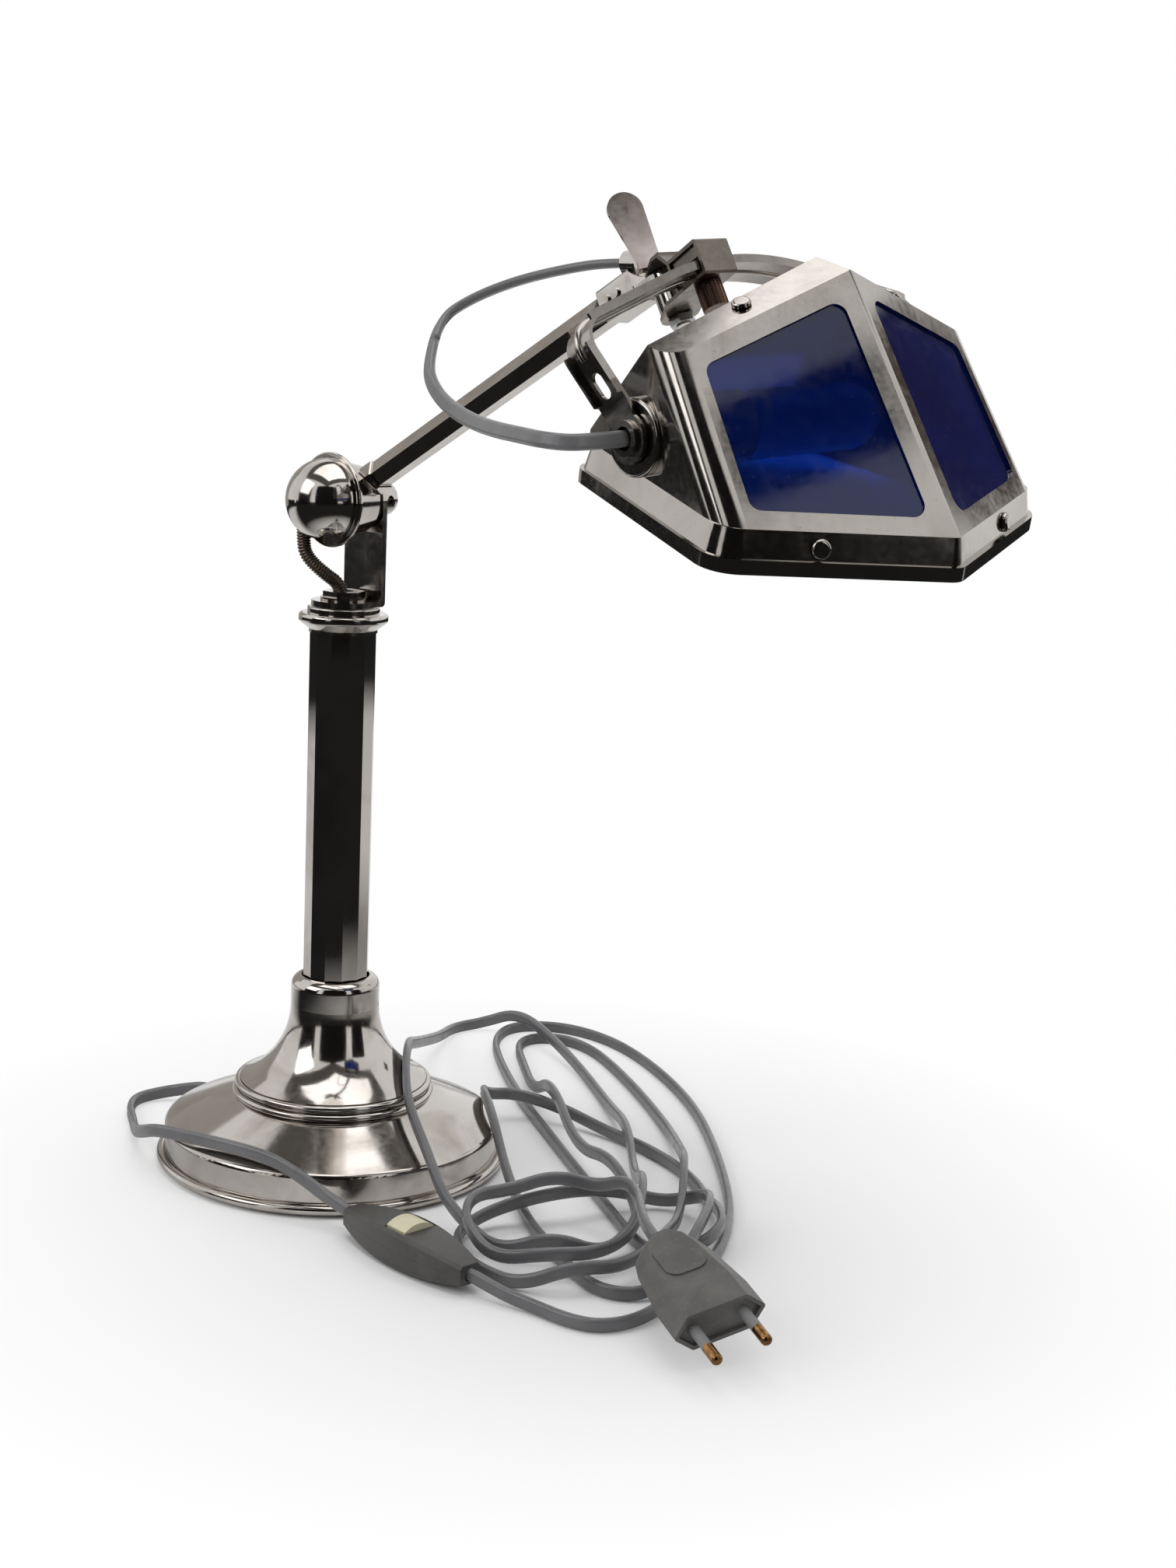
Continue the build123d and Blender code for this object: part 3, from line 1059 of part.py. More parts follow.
def route_radii(points):
    """The largest arcs that leave a tenth of the shorter run straight at each turn."""
    radii = []
    for before, point, after in zip(points, points[1:], points[2:]):
        into, out = Vector(*point) - Vector(*before), Vector(*after) - Vector(*point)
        half_turn = radians(into.get_angle(out)) / 2
        radii.append(0.45 * min(into.length, out.length) / tan(half_turn))
    return radii


def least_gap(line, length):
    """The smallest gap between two stretches of a tube, from points along its middle."""
    count = ceil(length / GAP_STEP)
    spots = [(spot.X, spot.Y, spot.Z) for spot in (line.position_at(index / count) for index in range(count + 1))]
    apart = ceil(GAP_SKIP / GAP_STEP)
    nearest = [dist(spot, other) for index, spot in enumerate(spots) for other in spots[index + apart:]
               if abs(spot[0] - other[0]) < GAP_SKIP and abs(spot[1] - other[1]) < GAP_SKIP]
    return min(nearest, default=length) - CORD


def cord_along(points):
    """A round tube of the cord's width along a route."""
    with BuildPart() as tube:
        with BuildLine() as line:
            FilletPolyline(*points, radius=route_radii(points))
        with BuildSketch(Plane(origin=line.line @ 0, z_dir=line.line % 0)):
            Circle(CORD / 2)
        sweep()
    length = sum(edge.length for edge in line.edges())
    section = pi * CORD ** 2 / 4
    print("cord", round(length), "mm, least radius", round(min(route_radii(points)), 1),
          "mm, least gap to itself", round(least_gap(line.wires()[0], length), 2),
          "mm, volume over section and length", round(tube.part.volume / (section * length), 4))
    return tube.part


# Short cord over the knuckle into the hollow eyelet, in two pieces that meet beside the clip
HEAD_CORD_REAR = [
    (144.5, 0, 355.2), (131, 0, 355.2), (116, -5, 352.5), (101, -13, 348), (89, -22, 341.5), (84, -32, 334),
    (90, -40, 326)]
HEAD_CORD_FRONT = [
    (90, -40, 326), (96, -48, 318), (108, -56, 311.5), (124, -64, 306.5), (142, -71, 303), (159, -76.5, 301.3),
    (174, -80.5, 300.7), (186, -84.5, 300.2), (195, -82.5, 299.8), (198.97, -75, 300.25), (201, -61.2, 301.4)]
head_cord_rear = cord_along(HEAD_CORD_REAR)
head_cord_rear.label = "head_cord_rear"
export_step(head_cord_rear, "parts/head_cord_rear.step")
head_cord_front = cord_along(HEAD_CORD_FRONT)
head_cord_front.label = "head_cord_front"
export_step(head_cord_front, "parts/head_cord_front.step")

# Mains cord from the base round its front to the hand switch
LEAD_ROUTE = [
    (-58.9, -4.1, 9.4), (-75, -5.2, 9.4), (-88, -7, 5.6), (-97, -14, 3), (-98, -26, 2.7), (-89, -35.5, 2.7),
    (-76, -43, 2.7), (-62, -52, 4.4), (-46, -60.5, 10.5), (-26, -67.5, 18.6), (-4, -65, 20.6), (16, -60.5, 21.2),
    (32, -56.5, 20.6), (46, -53.4, 16.4), (57, -49.8, 10.4), (70.3, -48.2, 7.6)]
mains_cord_lead = cord_along(LEAD_ROUTE)
mains_cord_lead.label = "mains_cord_lead"
export_step(mains_cord_lead, "parts/mains_cord_lead.step")

# Mains cord from the hand switch to the plug, bunched in loops beside and behind the base
CORD_ROUTE = [
    (134.4, -52.3, 7.4), (149, -50, 4), (163, -47, 2.7), (178, -46.5, 2.7), (189, -42, 2.7), (194, -29, 2.7),
    (191, -10, 2.7), (184, 12, 2.7), (174, 38, 2.7), (156, 66, 2.7), (134, 90, 2.7), (103, 119, 2.7),
    (67, 149, 2.7), (29, 172, 2.7), (-10, 189, 2.7), (-38, 193, 2.7), (-58, 187, 2.7), (-70, 171, 2.7),
    (-60, 150, 2.7), (-36, 130, 2.7), (2, 104, 2.7), (44, 80, 2.7), (84, 57, 2.7), (122, 36, 2.7),
    (148, 21, 2.7), (163, 19, 2.7), (173, 28, 7.8), (171, 43, 10.3), (158, 57, 9.2), (140, 72, 3),
    (118, 87, 2.7), (90, 97, 2.7), (60, 100, 2.7), (34, 97, 7.4), (17, 88, 10.8), (13, 74, 12.5),
    (26, 59, 21.5), (50, 41, 22.3), (78, 23, 7.3), (106, 6, 2.7), (134, -8, 2.7), (155, -17, 2.7),
    (170, -20, 2.7), (181, -12, 2.7), (182, 2, 6.4), (177, 18, 13.3), (166, 40, 15.8), (154, 56, 14.5),
    (140, 63, 7.4), (127, 59, 2.7), (119, 46, 7.7), (115, 28, 12.1), (106, 10, 10.8), (96, -6, 5.6),
    (98, -23, 2.7), (112, -35, 2.7), (130, -40, 2.7), (147, -38, 2.7), (161, -27, 10.7), (168, -6, 7.4),
    (161, 22, 9.5), (148, 46, 5.8), (130, 68, 18.6), (108, 92, 9.4), (76, 121, 2.7), (40, 144, 2.7),
    (4, 164, 2.7), (-20, 175, 2.7), (-39, 177, 2.7), (-51, 167, 2.7), (-47, 152, 2.7), (-24, 134, 2.7),
    (8, 108, 5.2), (40, 86, 22.7), (76, 64, 8.6), (110, 48, 18.5), (134, 36, 9.9), (148, 20, 9.2),
    (148, 3, 2.8), (138, -13, 11.3), (121, -24, 2.7), (102, -24, 9.2), (84, -18, 13.3), (68, -10, 21.4),
    (47, -1, 31.7), (33, 9, 39.4), (14, 27, 44.8), (-14, 56, 32), (-45, 90, 18), (-72, 126, 6),
    (-86, 148, 2.7), (-82, 164, 3.1), (-64, 170, 11.6), (-34, 163, 7.1), (2, 147, 2.7), (40, 123, 2.7),
    (76, 95, 10.8), (108, 64, 4.8), (136, 38, 21.5), (155, 14, 12.6), (156, -6, 8.5), (146, -24, 10.1),
    (128, -34, 5.2), (110, -31, 13.4), (100, -18, 16.9), (102, 0, 14.9), (110, 16, 19.2),
    (122, 27, 15.5), (137, 27, 22.3), (152, 17, 23), (165, 3.5, 25.3), (178.6, -9.1, 26.8),
    (191.3, -14.6, 24.6)]
mains_cord = cord_along(CORD_ROUTE)
mains_cord.label = "mains_cord"
export_step(mains_cord, "parts/mains_cord.step")

# Hand switch: a case of two halves, lens-shaped from above and from the side, with a rocker across its top
SWITCH = Plane(origin=(102.4, -50.2, 0.2), x_dir=(1, -0.066, 0), z_dir=(0, 0, 1))
SWITCH_MIDDLE = SWITCH_HEIGHT / 2
SWITCH_SIDE = within(SWITCH, origin=(0, SWITCH_WIDTH, SWITCH_MIDDLE), z_dir=(0, -1, 0))
CORD_SLOT = CORD / 2 + 0.05
SLOT_REACH = 14.0
ROCKER_CENTRE = ROCKER_TOP - ROCKER_RADIUS
ROCKER_FLOOR = SWITCH_MIDDLE + 2.0


def case_arc(full, end):
    """Radius of the arc between the full width or height and the end's."""
    sagitta = (full - end) / 2
    return ((SWITCH_LENGTH / 2) ** 2 + sagitta ** 2) / (2 * sagitta)


def switch_case(shrink):
    """The whole case as a solid, smaller all round by a wall."""
    with BuildPart() as case:
        with BuildSketch(SWITCH):
            radius = case_arc(SWITCH_WIDTH, SWITCH_END_WIDTH)
            for side in (-1, 1):
                with Locations((0, side * (SWITCH_WIDTH / 2 - shrink - radius))):
                    Circle(radius, mode=Mode.ADD if side < 0 else Mode.INTERSECT)
            Rectangle(SWITCH_LENGTH - 2 * shrink, SWITCH_WIDTH, mode=Mode.INTERSECT)
        extrude(amount=SWITCH_HEIGHT)
        radius = case_arc(SWITCH_HEIGHT, SWITCH_END_HEIGHT)
        for side in (-1, 1):
            with BuildSketch(SWITCH_SIDE):
                with Locations((0, side * SWITCH_HEIGHT / 2)):
                    Rectangle(SWITCH_LENGTH, SWITCH_HEIGHT + 2)
                with Locations((0, side * (SWITCH_HEIGHT / 2 - shrink - radius))):
                    Circle(radius, mode=Mode.SUBTRACT)
            extrude(amount=2 * SWITCH_WIDTH, mode=Mode.SUBTRACT)
        if not shrink:
            chamfer(case.edges().sort_by(SortBy.LENGTH)[-4:], SWITCH_BEVEL)
    return case.part


cord_axes = [Plane(origin=points[spot], z_dir=Vector(*points[spot]) - Vector(*points[inner]))
             for points, spot, inner in ((LEAD_ROUTE, -1, -2), (CORD_ROUTE, 0, 1))]


def switch_half(side):
    """One half of the hollow case, 1 for the upper, -1 for the lower."""
    with BuildPart() as half:
        add(switch_case(0))
        add(switch_case(SWITCH_WALL), mode=Mode.SUBTRACT)
        for axis in cord_axes:
            with BuildSketch(axis):
                Circle(CORD_SLOT)
            extrude(amount=SLOT_REACH, both=True, mode=Mode.SUBTRACT)
        seam_level = SWITCH.offset(SWITCH_MIDDLE + side * SPLIT_GAP / 2)
        split(bisect_by=seam_level, keep=Keep.TOP if side > 0 else Keep.BOTTOM)
    return half.part


switch_lower = switch_half(-1)
switch_lower.label = "switch_lower"
export_step(switch_lower, "parts/switch_lower.step")

with BuildPart() as switch_upper:
    add(switch_half(1))
    with BuildSketch(SWITCH.offset(SWITCH_MIDDLE)):
        swing = asin(ROCKER_WIDTH / 2 / ROCKER_RADIUS) + radians(ROCKER_TILT)
        Rectangle(ROCKER_LENGTH + 2 * SEAT, 2 * (ROCKER_RADIUS * sin(swing) + SEAT))
    extrude(amount=SWITCH_HEIGHT, mode=Mode.SUBTRACT)
switch_upper.part.label = "switch_upper"
export_step(switch_upper.part, "parts/switch_upper.step")

with BuildPart() as switch_rocker:
    with BuildSketch(within(SWITCH, origin=(-ROCKER_LENGTH / 2, 0, 0), x_dir=(0, 1, 0), z_dir=(1, 0, 0))):
        with Locations((0, ROCKER_CENTRE)):
            Circle(ROCKER_RADIUS)
        with Locations((0, ROCKER_FLOOR)):
            Rectangle(ROCKER_WIDTH, ROCKER_RADIUS, align=(Align.CENTER, Align.MIN), mode=Mode.INTERSECT)
    extrude(amount=ROCKER_LENGTH)
switch_rocker.part.label = "switch_rocker"
export_step(switch_rocker.part, "parts/switch_rocker.step")

# Plug: a six-sided moulded body, narrower towards the cord, with a sunk front, raised grips and two pins
PLUG = Plane(origin=(233.9, -33.1, 17.3), x_dir=(0.42, 0.87, 0.258), z_dir=(0.906, -0.394, -0.156))
PLUG_FACE = within(PLUG, z_dir=(0, 1, 0))


def plug_section(level, width, shrink=0.0):
    """The plug's six-sided section at a distance behind its front."""
    tip, flat, half = width / 2, width / 2 - PLUG_BEVEL, PLUG_THICKNESS / 2
    with BuildSketch(PLUG.offset(-level)) as section:
        Polygon((tip, 0), (flat, half), (-flat, half), (-tip, 0), (-flat, -half), (flat, -half), align=None)
        fillet(section.vertices(), PLUG_EDGE)
        if shrink:
            offset(amount=-shrink, mode=Mode.REPLACE)
    return section.sketch


with BuildPart() as plug_body:
    for front_end, rear_end in zip(PLUG_TAPER, PLUG_TAPER[1:]):
        add(plug_section(*front_end))
        add(plug_section(*rear_end))
        loft(ruled=True)
    for side in (-1, 1):
        with BuildSketch(PLUG_FACE.offset(side * (PLUG_THICKNESS / 2 - 0.2))):
            with Locations((0, GRIP_START + GRIP_LENGTH / 2)):
                RectangleRounded(GRIP_WIDTH, GRIP_LENGTH, GRIP_RADIUS)
        extrude(amount=side * (GRIP_RISE + 0.2))
    extrude(plug_section(0, PLUG_TAPER[0][1], PLUG_RIM), amount=-PLUG_SINK, mode=Mode.SUBTRACT)
    with BuildSketch(PLUG):
        with Locations((-PIN_SPACING / 2, 0), (PIN_SPACING / 2, 0)):
            Circle(PIN_RADIUS)
    extrude(amount=-PIN_SEAT, mode=Mode.SUBTRACT)
    with BuildSketch(PLUG.offset(-PLUG_LENGTH)):
        Circle(CORD_SLOT)
    extrude(amount=8.0, mode=Mode.SUBTRACT)
plug_body.part.label = "plug_body"
export_step(plug_body.part, "parts/plug_body.step")

with BuildPart() as plug_pins:
    for side in (-1, 1):
        with BuildSketch(within(PLUG, origin=(side * PIN_SPACING / 2, 0, -PIN_SEAT + 0.1))):
            Circle(PIN_RADIUS)
        extrude(amount=PIN_LENGTH + PIN_SEAT - PLUG_SINK)
    tips = plug_pins.edges().filter_by(GeomType.CIRCLE).group_by(Axis(PLUG.origin, PLUG.z_dir))[-1]
    fillet(tips, PIN_TIP_RADIUS)
plug_pins.part.label = "plug_pins"
export_step(plug_pins.part, "parts/plug_pins.step")
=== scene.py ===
# Desk lamp: camera, cords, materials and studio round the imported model, in metres
import math

import bpy
from mathutils import Matrix, Vector


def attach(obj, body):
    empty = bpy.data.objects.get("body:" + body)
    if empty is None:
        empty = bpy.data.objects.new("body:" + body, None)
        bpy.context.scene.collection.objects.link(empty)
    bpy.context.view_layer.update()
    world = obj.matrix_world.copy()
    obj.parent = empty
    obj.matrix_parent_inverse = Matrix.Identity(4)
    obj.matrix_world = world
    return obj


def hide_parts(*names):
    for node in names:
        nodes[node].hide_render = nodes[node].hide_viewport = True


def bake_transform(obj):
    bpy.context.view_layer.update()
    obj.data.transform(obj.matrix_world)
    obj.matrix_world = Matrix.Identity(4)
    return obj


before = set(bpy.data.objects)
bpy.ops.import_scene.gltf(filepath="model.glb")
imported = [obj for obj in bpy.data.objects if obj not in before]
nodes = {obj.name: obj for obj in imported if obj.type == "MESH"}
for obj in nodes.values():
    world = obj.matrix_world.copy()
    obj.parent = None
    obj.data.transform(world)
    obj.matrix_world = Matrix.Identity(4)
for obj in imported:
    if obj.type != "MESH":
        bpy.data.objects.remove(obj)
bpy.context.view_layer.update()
scene = bpy.context.scene

# Camera, solved from the round base, the column and the arm
CAMERA_SPOT = Vector((0.6765, -0.5814, 0.3355))
LOOK_DOWN = math.radians(11.35)
LOOK_RIGHT = math.radians(6.25)
ROLL = math.radians(-2.51)
TURN = math.radians(49.3)       # of the lamp from the photograph's depth axis
FOCAL_PIXELS = 2960.0
IMAGE_HEIGHT = 2016
SENSOR = 36.0       # its height in millimetres
CLIP_START = 0.01
CLIP_END = 50


def place_camera():
    """The photograph's camera: where it looks, and how far it is rolled about that direction."""
    ahead = Vector((math.sin(LOOK_RIGHT) * math.cos(LOOK_DOWN),
                    math.cos(LOOK_RIGHT) * math.cos(LOOK_DOWN),
                    -math.sin(LOOK_DOWN)))
    right = Vector((math.cos(LOOK_RIGHT), -math.sin(LOOK_RIGHT), 0))
    down = ahead.cross(right)
    across = right * math.cos(ROLL) + down * math.sin(ROLL)
    below = down * math.cos(ROLL) - right * math.sin(ROLL)
    turn = Matrix.Rotation(TURN, 3, "Z")
    axes = Matrix([turn @ across, turn @ -below, turn @ -ahead]).transposed()
    data = bpy.data.cameras.new("camera")
    data.sensor_fit = "VERTICAL"
    data.sensor_height = SENSOR
    data.lens = FOCAL_PIXELS / IMAGE_HEIGHT * SENSOR
    data.clip_start = CLIP_START
    data.clip_end = CLIP_END
    camera = bpy.data.objects.new("camera", data)
    camera.matrix_world = Matrix.Translation(CAMERA_SPOT) @ axes.to_4x4()
    scene.collection.objects.link(camera)
    scene.camera = camera


place_camera()

# Routes of the cords, in millimetres
MM = 0.001
LEAD_ROUTE = [
    (-58.9, -4.1, 9.4), (-75, -5.2, 9.4), (-88, -7, 5.6), (-97, -14, 3), (-98, -26, 2.7),
    (-89, -35.5, 2.7), (-76, -43, 2.7), (-62, -52, 4.4), (-46, -60.5, 10.5), (-26, -67.5, 18.6),
    (-4, -65, 20.6), (16, -60.5, 21.2), (32, -56.5, 20.6), (46, -53.4, 16.4), (57, -49.8, 10.4),
    (70.3, -48.2, 7.6)]
CORD_ROUTE = [
    (134.4, -52.3, 7.4), (149, -50, 4), (163, -47, 2.7), (178, -46.5, 2.7), (189, -42, 2.7),
    (194, -29, 2.7), (191, -10, 2.7), (184, 12, 2.7), (174, 38, 2.7), (156, 66, 2.7), (134, 90, 2.7),
    (103, 119, 2.7), (67, 149, 2.7), (29, 172, 2.7), (-10, 189, 2.7), (-38, 193, 2.7), (-58, 187, 2.7),
    (-70, 171, 2.7), (-60, 150, 2.7), (-36, 130, 2.7), (2, 104, 2.7), (44, 80, 2.7), (84, 57, 2.7),
    (122, 36, 2.7), (148, 21, 2.7), (163, 19, 2.7), (173, 28, 7.8), (171, 43, 10.3), (158, 57, 9.2),
    (140, 72, 3), (118, 87, 2.7), (90, 97, 2.7), (60, 100, 2.7), (34, 97, 7.4), (17, 88, 10.8),
    (13, 74, 12.5), (26, 59, 21.5), (50, 41, 22.3), (78, 23, 7.3), (106, 6, 2.7), (134, -8, 2.7),
    (155, -17, 2.7), (170, -20, 2.7), (181, -12, 2.7), (182, 2, 6.4), (177, 18, 13.3), (166, 40, 15.8),
    (154, 56, 14.5), (140, 63, 7.4), (127, 59, 2.7), (119, 46, 7.7), (115, 28, 12.1), (106, 10, 10.8),
    (96, -6, 5.6), (98, -23, 2.7), (112, -35, 2.7), (130, -40, 2.7), (147, -38, 2.7), (161, -27, 10.7),
    (168, -6, 7.4), (161, 22, 9.5), (148, 46, 5.8), (130, 68, 18.6), (108, 92, 9.4), (76, 121, 2.7),
    (40, 144, 2.7), (4, 164, 2.7), (-20, 175, 2.7), (-39, 177, 2.7), (-51, 167, 2.7), (-47, 152, 2.7),
    (-24, 134, 2.7), (8, 108, 5.2), (40, 86, 22.7), (76, 64, 8.6), (110, 48, 18.5), (134, 36, 9.9),
    (148, 20, 9.2), (148, 3, 2.8), (138, -13, 11.3), (121, -24, 2.7), (102, -24, 9.2), (84, -18, 13.3),
    (68, -10, 21.4), (47, -1, 31.7), (33, 9, 39.4), (14, 27, 44.8), (-14, 56, 32), (-45, 90, 18),
    (-72, 126, 6), (-86, 148, 2.7), (-82, 164, 3.1), (-64, 170, 11.6), (-34, 163, 7.1), (2, 147, 2.7),
    (40, 123, 2.7), (76, 95, 10.8), (108, 64, 4.8), (136, 38, 21.5), (155, 14, 12.6), (156, -6, 8.5),
    (146, -24, 10.1), (128, -34, 5.2), (110, -31, 13.4), (100, -18, 16.9), (102, 0, 14.9),
    (110, 16, 19.2), (122, 27, 15.5), (137, 27, 22.3), (152, 17, 23), (165, 3.5, 25.3),
    (178.6, -9.1, 26.8), (191.3, -14.6, 24.6)]
HEAD_CORD_REAR = [
    (144.5, 0, 355.2), (131, 0, 355.2), (116, -5, 352.5), (101, -13, 348), (89, -22, 341.5),
    (84, -32, 334), (90, -40, 326)]
HEAD_CORD_FRONT = [
    (90, -40, 326), (96, -48, 318), (108, -56, 311.5), (124, -64, 306.5), (142, -71, 303),
    (159, -76.5, 301.3), (174, -80.5, 300.7), (186, -84.5, 300.2), (195, -82.5, 299.8),
    (198.97, -75, 300.25), (201, -61.2, 301.4)]
CONDUIT_ROUTE = [
    (0, 0, 222), (0, -0.4, 231), (-3.5, -8.5, 237), (-8.2, -12.7, 243), (-9.4, -13, 249),
    (-9.4, -13, 255)]

CORD_WIDTH = 0.0052
CORD_THICKNESS = 0.0031
CORD_WAIST = 0.0027     # over the groove between its two cores
CORE_STEPS = 8          # of the half circle round each core
SPLINE_STEPS = 8        # from one point of a route to the next

# Color sockets of a Mix node
FIRST_COLOR = 6
SECOND_COLOR = 7
MIXED_COLOR = 2


class Finish:
    """A material with a principled shader and short calls for its textures."""

    def __init__(self, name, color, rough, metal=0.0):
        self.material = bpy.data.materials.new(name)
        self.material.use_nodes = True
        self.tree = self.material.node_tree
        self.shader = self.tree.nodes["Principled BSDF"]
        self.shader.inputs["Base Color"].default_value = (*color, 1)
        self.shader.inputs["Roughness"].default_value = rough
        self.shader.inputs["Metallic"].default_value = metal
        self.place = self.tree.nodes.new("ShaderNodeTexCoord").outputs["Object"]
        self.normal = None      # from the last bump, which the next one adds to

    def add(self, kind, **values):
        """A new node. Each value goes to its input of that name, or else to its setting."""
        node = self.tree.nodes.new(kind)
        for key, value in values.items():
            if key in node.inputs:
                self.feed(node.inputs[key], value)
            else:
                setattr(node, key, value)
        return node

    def feed(self, socket, value):
        """A link from another socket, or a plain value."""
        if isinstance(value, bpy.types.NodeSocket):
            self.tree.links.new(value, socket)
        else:
            socket.default_value = value

    def set(self, key, value):
        self.feed(self.shader.inputs[key], value)

    def stretched(self, factors):
        mapping = self.add("ShaderNodeMapping", Vector=self.place)
        mapping.inputs["Scale"].default_value = factors
        return mapping.outputs["Vector"]

    def noise(self, scale, detail, stretch=None, distortion=0.0):
        source = self.stretched(stretch) if stretch else self.place
        node = self.add("ShaderNodeTexNoise", Vector=source, Scale=scale, Detail=detail,
                        Distortion=distortion)
        return node.outputs["Fac"]

    def cells(self, scale):
        """Distance to the nearest of many scattered points."""
        node = self.add("ShaderNodeTexVoronoi", Vector=self.place, Scale=scale)
        return node.outputs["Distance"]

    def measure(self, operation, vector):
        """One number from the place and a fixed vector, such as their distance."""
        node = self.add("ShaderNodeVectorMath", operation=operation)
        self.feed(node.inputs[0], self.place)
        node.inputs[1].default_value = vector
        return node.outputs["Value"]

    def span(self, value, low, high, start=0.3, stop=0.7):
        """A number that goes from low to high as the value goes from start to stop."""
        node = self.add("ShaderNodeMapRange")
        for key, number in (("Value", value), ("From Min", start), ("From Max", stop),
                            ("To Min", low), ("To Max", high)):
            self.feed(node.inputs[key], number)
        return node.outputs["Result"]

    def combine(self, first, second, operation="MULTIPLY"):
        node = self.add("ShaderNodeMath", operation=operation)
        self.feed(node.inputs[0], first)
        self.feed(node.inputs[1], second)
        return node.outputs[0]

    def mix(self, share, first, second):
        """The second color over the first, by its share."""
        node = self.add("ShaderNodeMix")
        node.data_type = "RGBA"
        self.feed(node.inputs["Factor"], share)
        for socket, value in ((node.inputs[FIRST_COLOR], first), (node.inputs[SECOND_COLOR], second)):
            self.feed(socket, value if isinstance(value, bpy.types.NodeSocket) else (*value, 1))
        return node.outputs[MIXED_COLOR]

    def bump(self, height, strength, distance):
        node = self.add("ShaderNodeBump", Height=height, Strength=strength, Distance=distance)
        if self.normal:
            self.feed(node.inputs["Normal"], self.normal)
        self.normal = node.outputs["Normal"]
        self.set("Normal", self.normal)


PIT_COLOR = (0.05, 0.035, 0.025)
PIT_SHARE = 0.6
DUST_GAIN = 1.9         # of the dust in a moulded grain over the worn color
RUBBED_GAIN = 1.45      # of the rubbed sheathing over its own color


def plated(name, bright, dull, rough, tarnish, scratch=(1, 1, 1)):
    """Worn metal: cloudy tarnish, hairline scratches and a few pits."""
    made = Finish(name, bright, rough, metal=1.0)
    cloud = made.noise(scale=38, detail=7, distortion=0.8)
    fine = made.noise(scale=420, detail=5)
    pits = made.span(made.cells(scale=420), low=1.0, high=0.0, start=0.03, stop=0.09)
    color = made.mix(made.span(cloud, low=0.0, high=1.0, start=0.45, stop=0.8), bright, dull)
    color = made.mix(made.combine(pits, PIT_SHARE), color, PIT_COLOR)
    made.set("Base Color", color)
    dulled = made.span(cloud, low=rough, high=rough + tarnish, start=0.5, stop=0.85)
    made.set("Roughness", made.combine(dulled, made.span(fine, low=0.8, high=1.25)))
    made.bump(made.noise(scale=900, detail=2, stretch=scratch), strength=0.04, distance=0.00003)
    made.bump(fine, strength=0.015, distance=0.00005)
    return made.material


def moulded(name, color, worn, rough, grain=1500):
    """Moulded plastic, cast iron or felt: fine grain, rubbed patches and dust in the grain."""
    made = Finish(name, color, rough)
    patch = made.noise(scale=70, detail=5, distortion=0.4)
    dust = made.noise(scale=1100, detail=3)
    rubbed = made.mix(made.span(patch, low=0.0, high=1.0, start=0.4, stop=0.75), color, worn)
    dusty = [min(1, part * DUST_GAIN) for part in worn]
    share = made.span(dust, low=0.0, high=0.35, start=0.58, stop=0.8)
    made.set("Base Color", made.mix(share, rubbed, dusty))
    made.set("Roughness", made.span(patch, low=rough - 0.08, high=rough + 0.12))
    made.bump(made.noise(scale=grain, detail=3), strength=0.25, distance=0.00005)
    return made.material


def rubbery(name, color, rough):
    """Old flexible sheathing: rubbed patches, fine grain and a faint coat."""
    made = Finish(name, color, rough)
    patch = made.noise(scale=45, detail=4)
    rubbed = [part * RUBBED_GAIN for part in color]
    made.set("Base Color", made.mix(made.span(patch, low=0.0, high=1.0), color, rubbed))
    made.set("Roughness", made.span(made.noise(scale=260, detail=4), low=0.26, high=0.42))
    made.set("Coat Weight", 0.2)
    made.bump(made.noise(scale=1300, detail=3), strength=0.18, distance=0.00006)
    return made.material


NICKEL = (0.53, 0.50, 0.47)
TARNISHED = (0.34, 0.30, 0.26)
nickel = plated("nickel", NICKEL, TARNISHED, rough=0.1, tarnish=0.16)
nickel_tube = plated("nickel_tube", NICKEL, TARNISHED, rough=0.05, tarnish=0.06, scratch=(1, 1, 0.04))
nickel_arm = plated("nickel_arm", NICKEL, TARNISHED, rough=0.05, tarnish=0.06, scratch=(0.05, 1, 0.1))
nickel_shade = plated("nickel_shade", (0.42, 0.395, 0.365), (0.34, 0.31, 0.28), rough=0.1, tarnish=0.1)
nickel_lever = plated("nickel_lever", (0.6, 0.53, 0.51), (0.4, 0.32, 0.28), rough=0.1, tarnish=0.15)
strap_metal = plated("strap_metal", (0.4, 0.375, 0.35), (0.22, 0.19, 0.16), rough=0.16, tarnish=0.2)
clip_metal = plated("clip_metal", (0.25, 0.22, 0.19), (0.13, 0.11, 0.09), rough=0.28, tarnish=0.2)
steel = plated("bare_steel", (0.42, 0.42, 0.42), (0.25, 0.23, 0.21), rough=0.3, tarnish=0.3)
brass = plated("old_brass", (0.55, 0.4, 0.2), (0.32, 0.2, 0.09), rough=0.28, tarnish=0.25)
bronze = plated("dark_bronze", (0.13, 0.1, 0.08), (0.05, 0.035, 0.03), rough=0.34, tarnish=0.2)
blackened = plated("blackened_copper", (0.09, 0.055, 0.045), (0.3, 0.14, 0.08), rough=0.3, tarnish=0.2)
cord_grey = rubbery("cord_grey", (0.1, 0.1, 0.104), rough=0.48)
dark_plastic = moulded("dark_plastic", (0.042, 0.04, 0.037), (0.075, 0.07, 0.063), rough=0.4)
plug_plastic = moulded("plug_plastic", (0.08, 0.077, 0.073), (0.14, 0.135, 0.125), rough=0.45)
cream_plastic = moulded("cream_plastic", (0.62, 0.58, 0.4), (0.5, 0.46, 0.31), rough=0.4, grain=900)
bakelite = moulded("dark_bakelite", (0.03, 0.022, 0.018), (0.05, 0.035, 0.025), rough=0.35)
felt = moulded("felt", (0.05, 0.055, 0.05), (0.08, 0.08, 0.07), rough=0.9, grain=500)
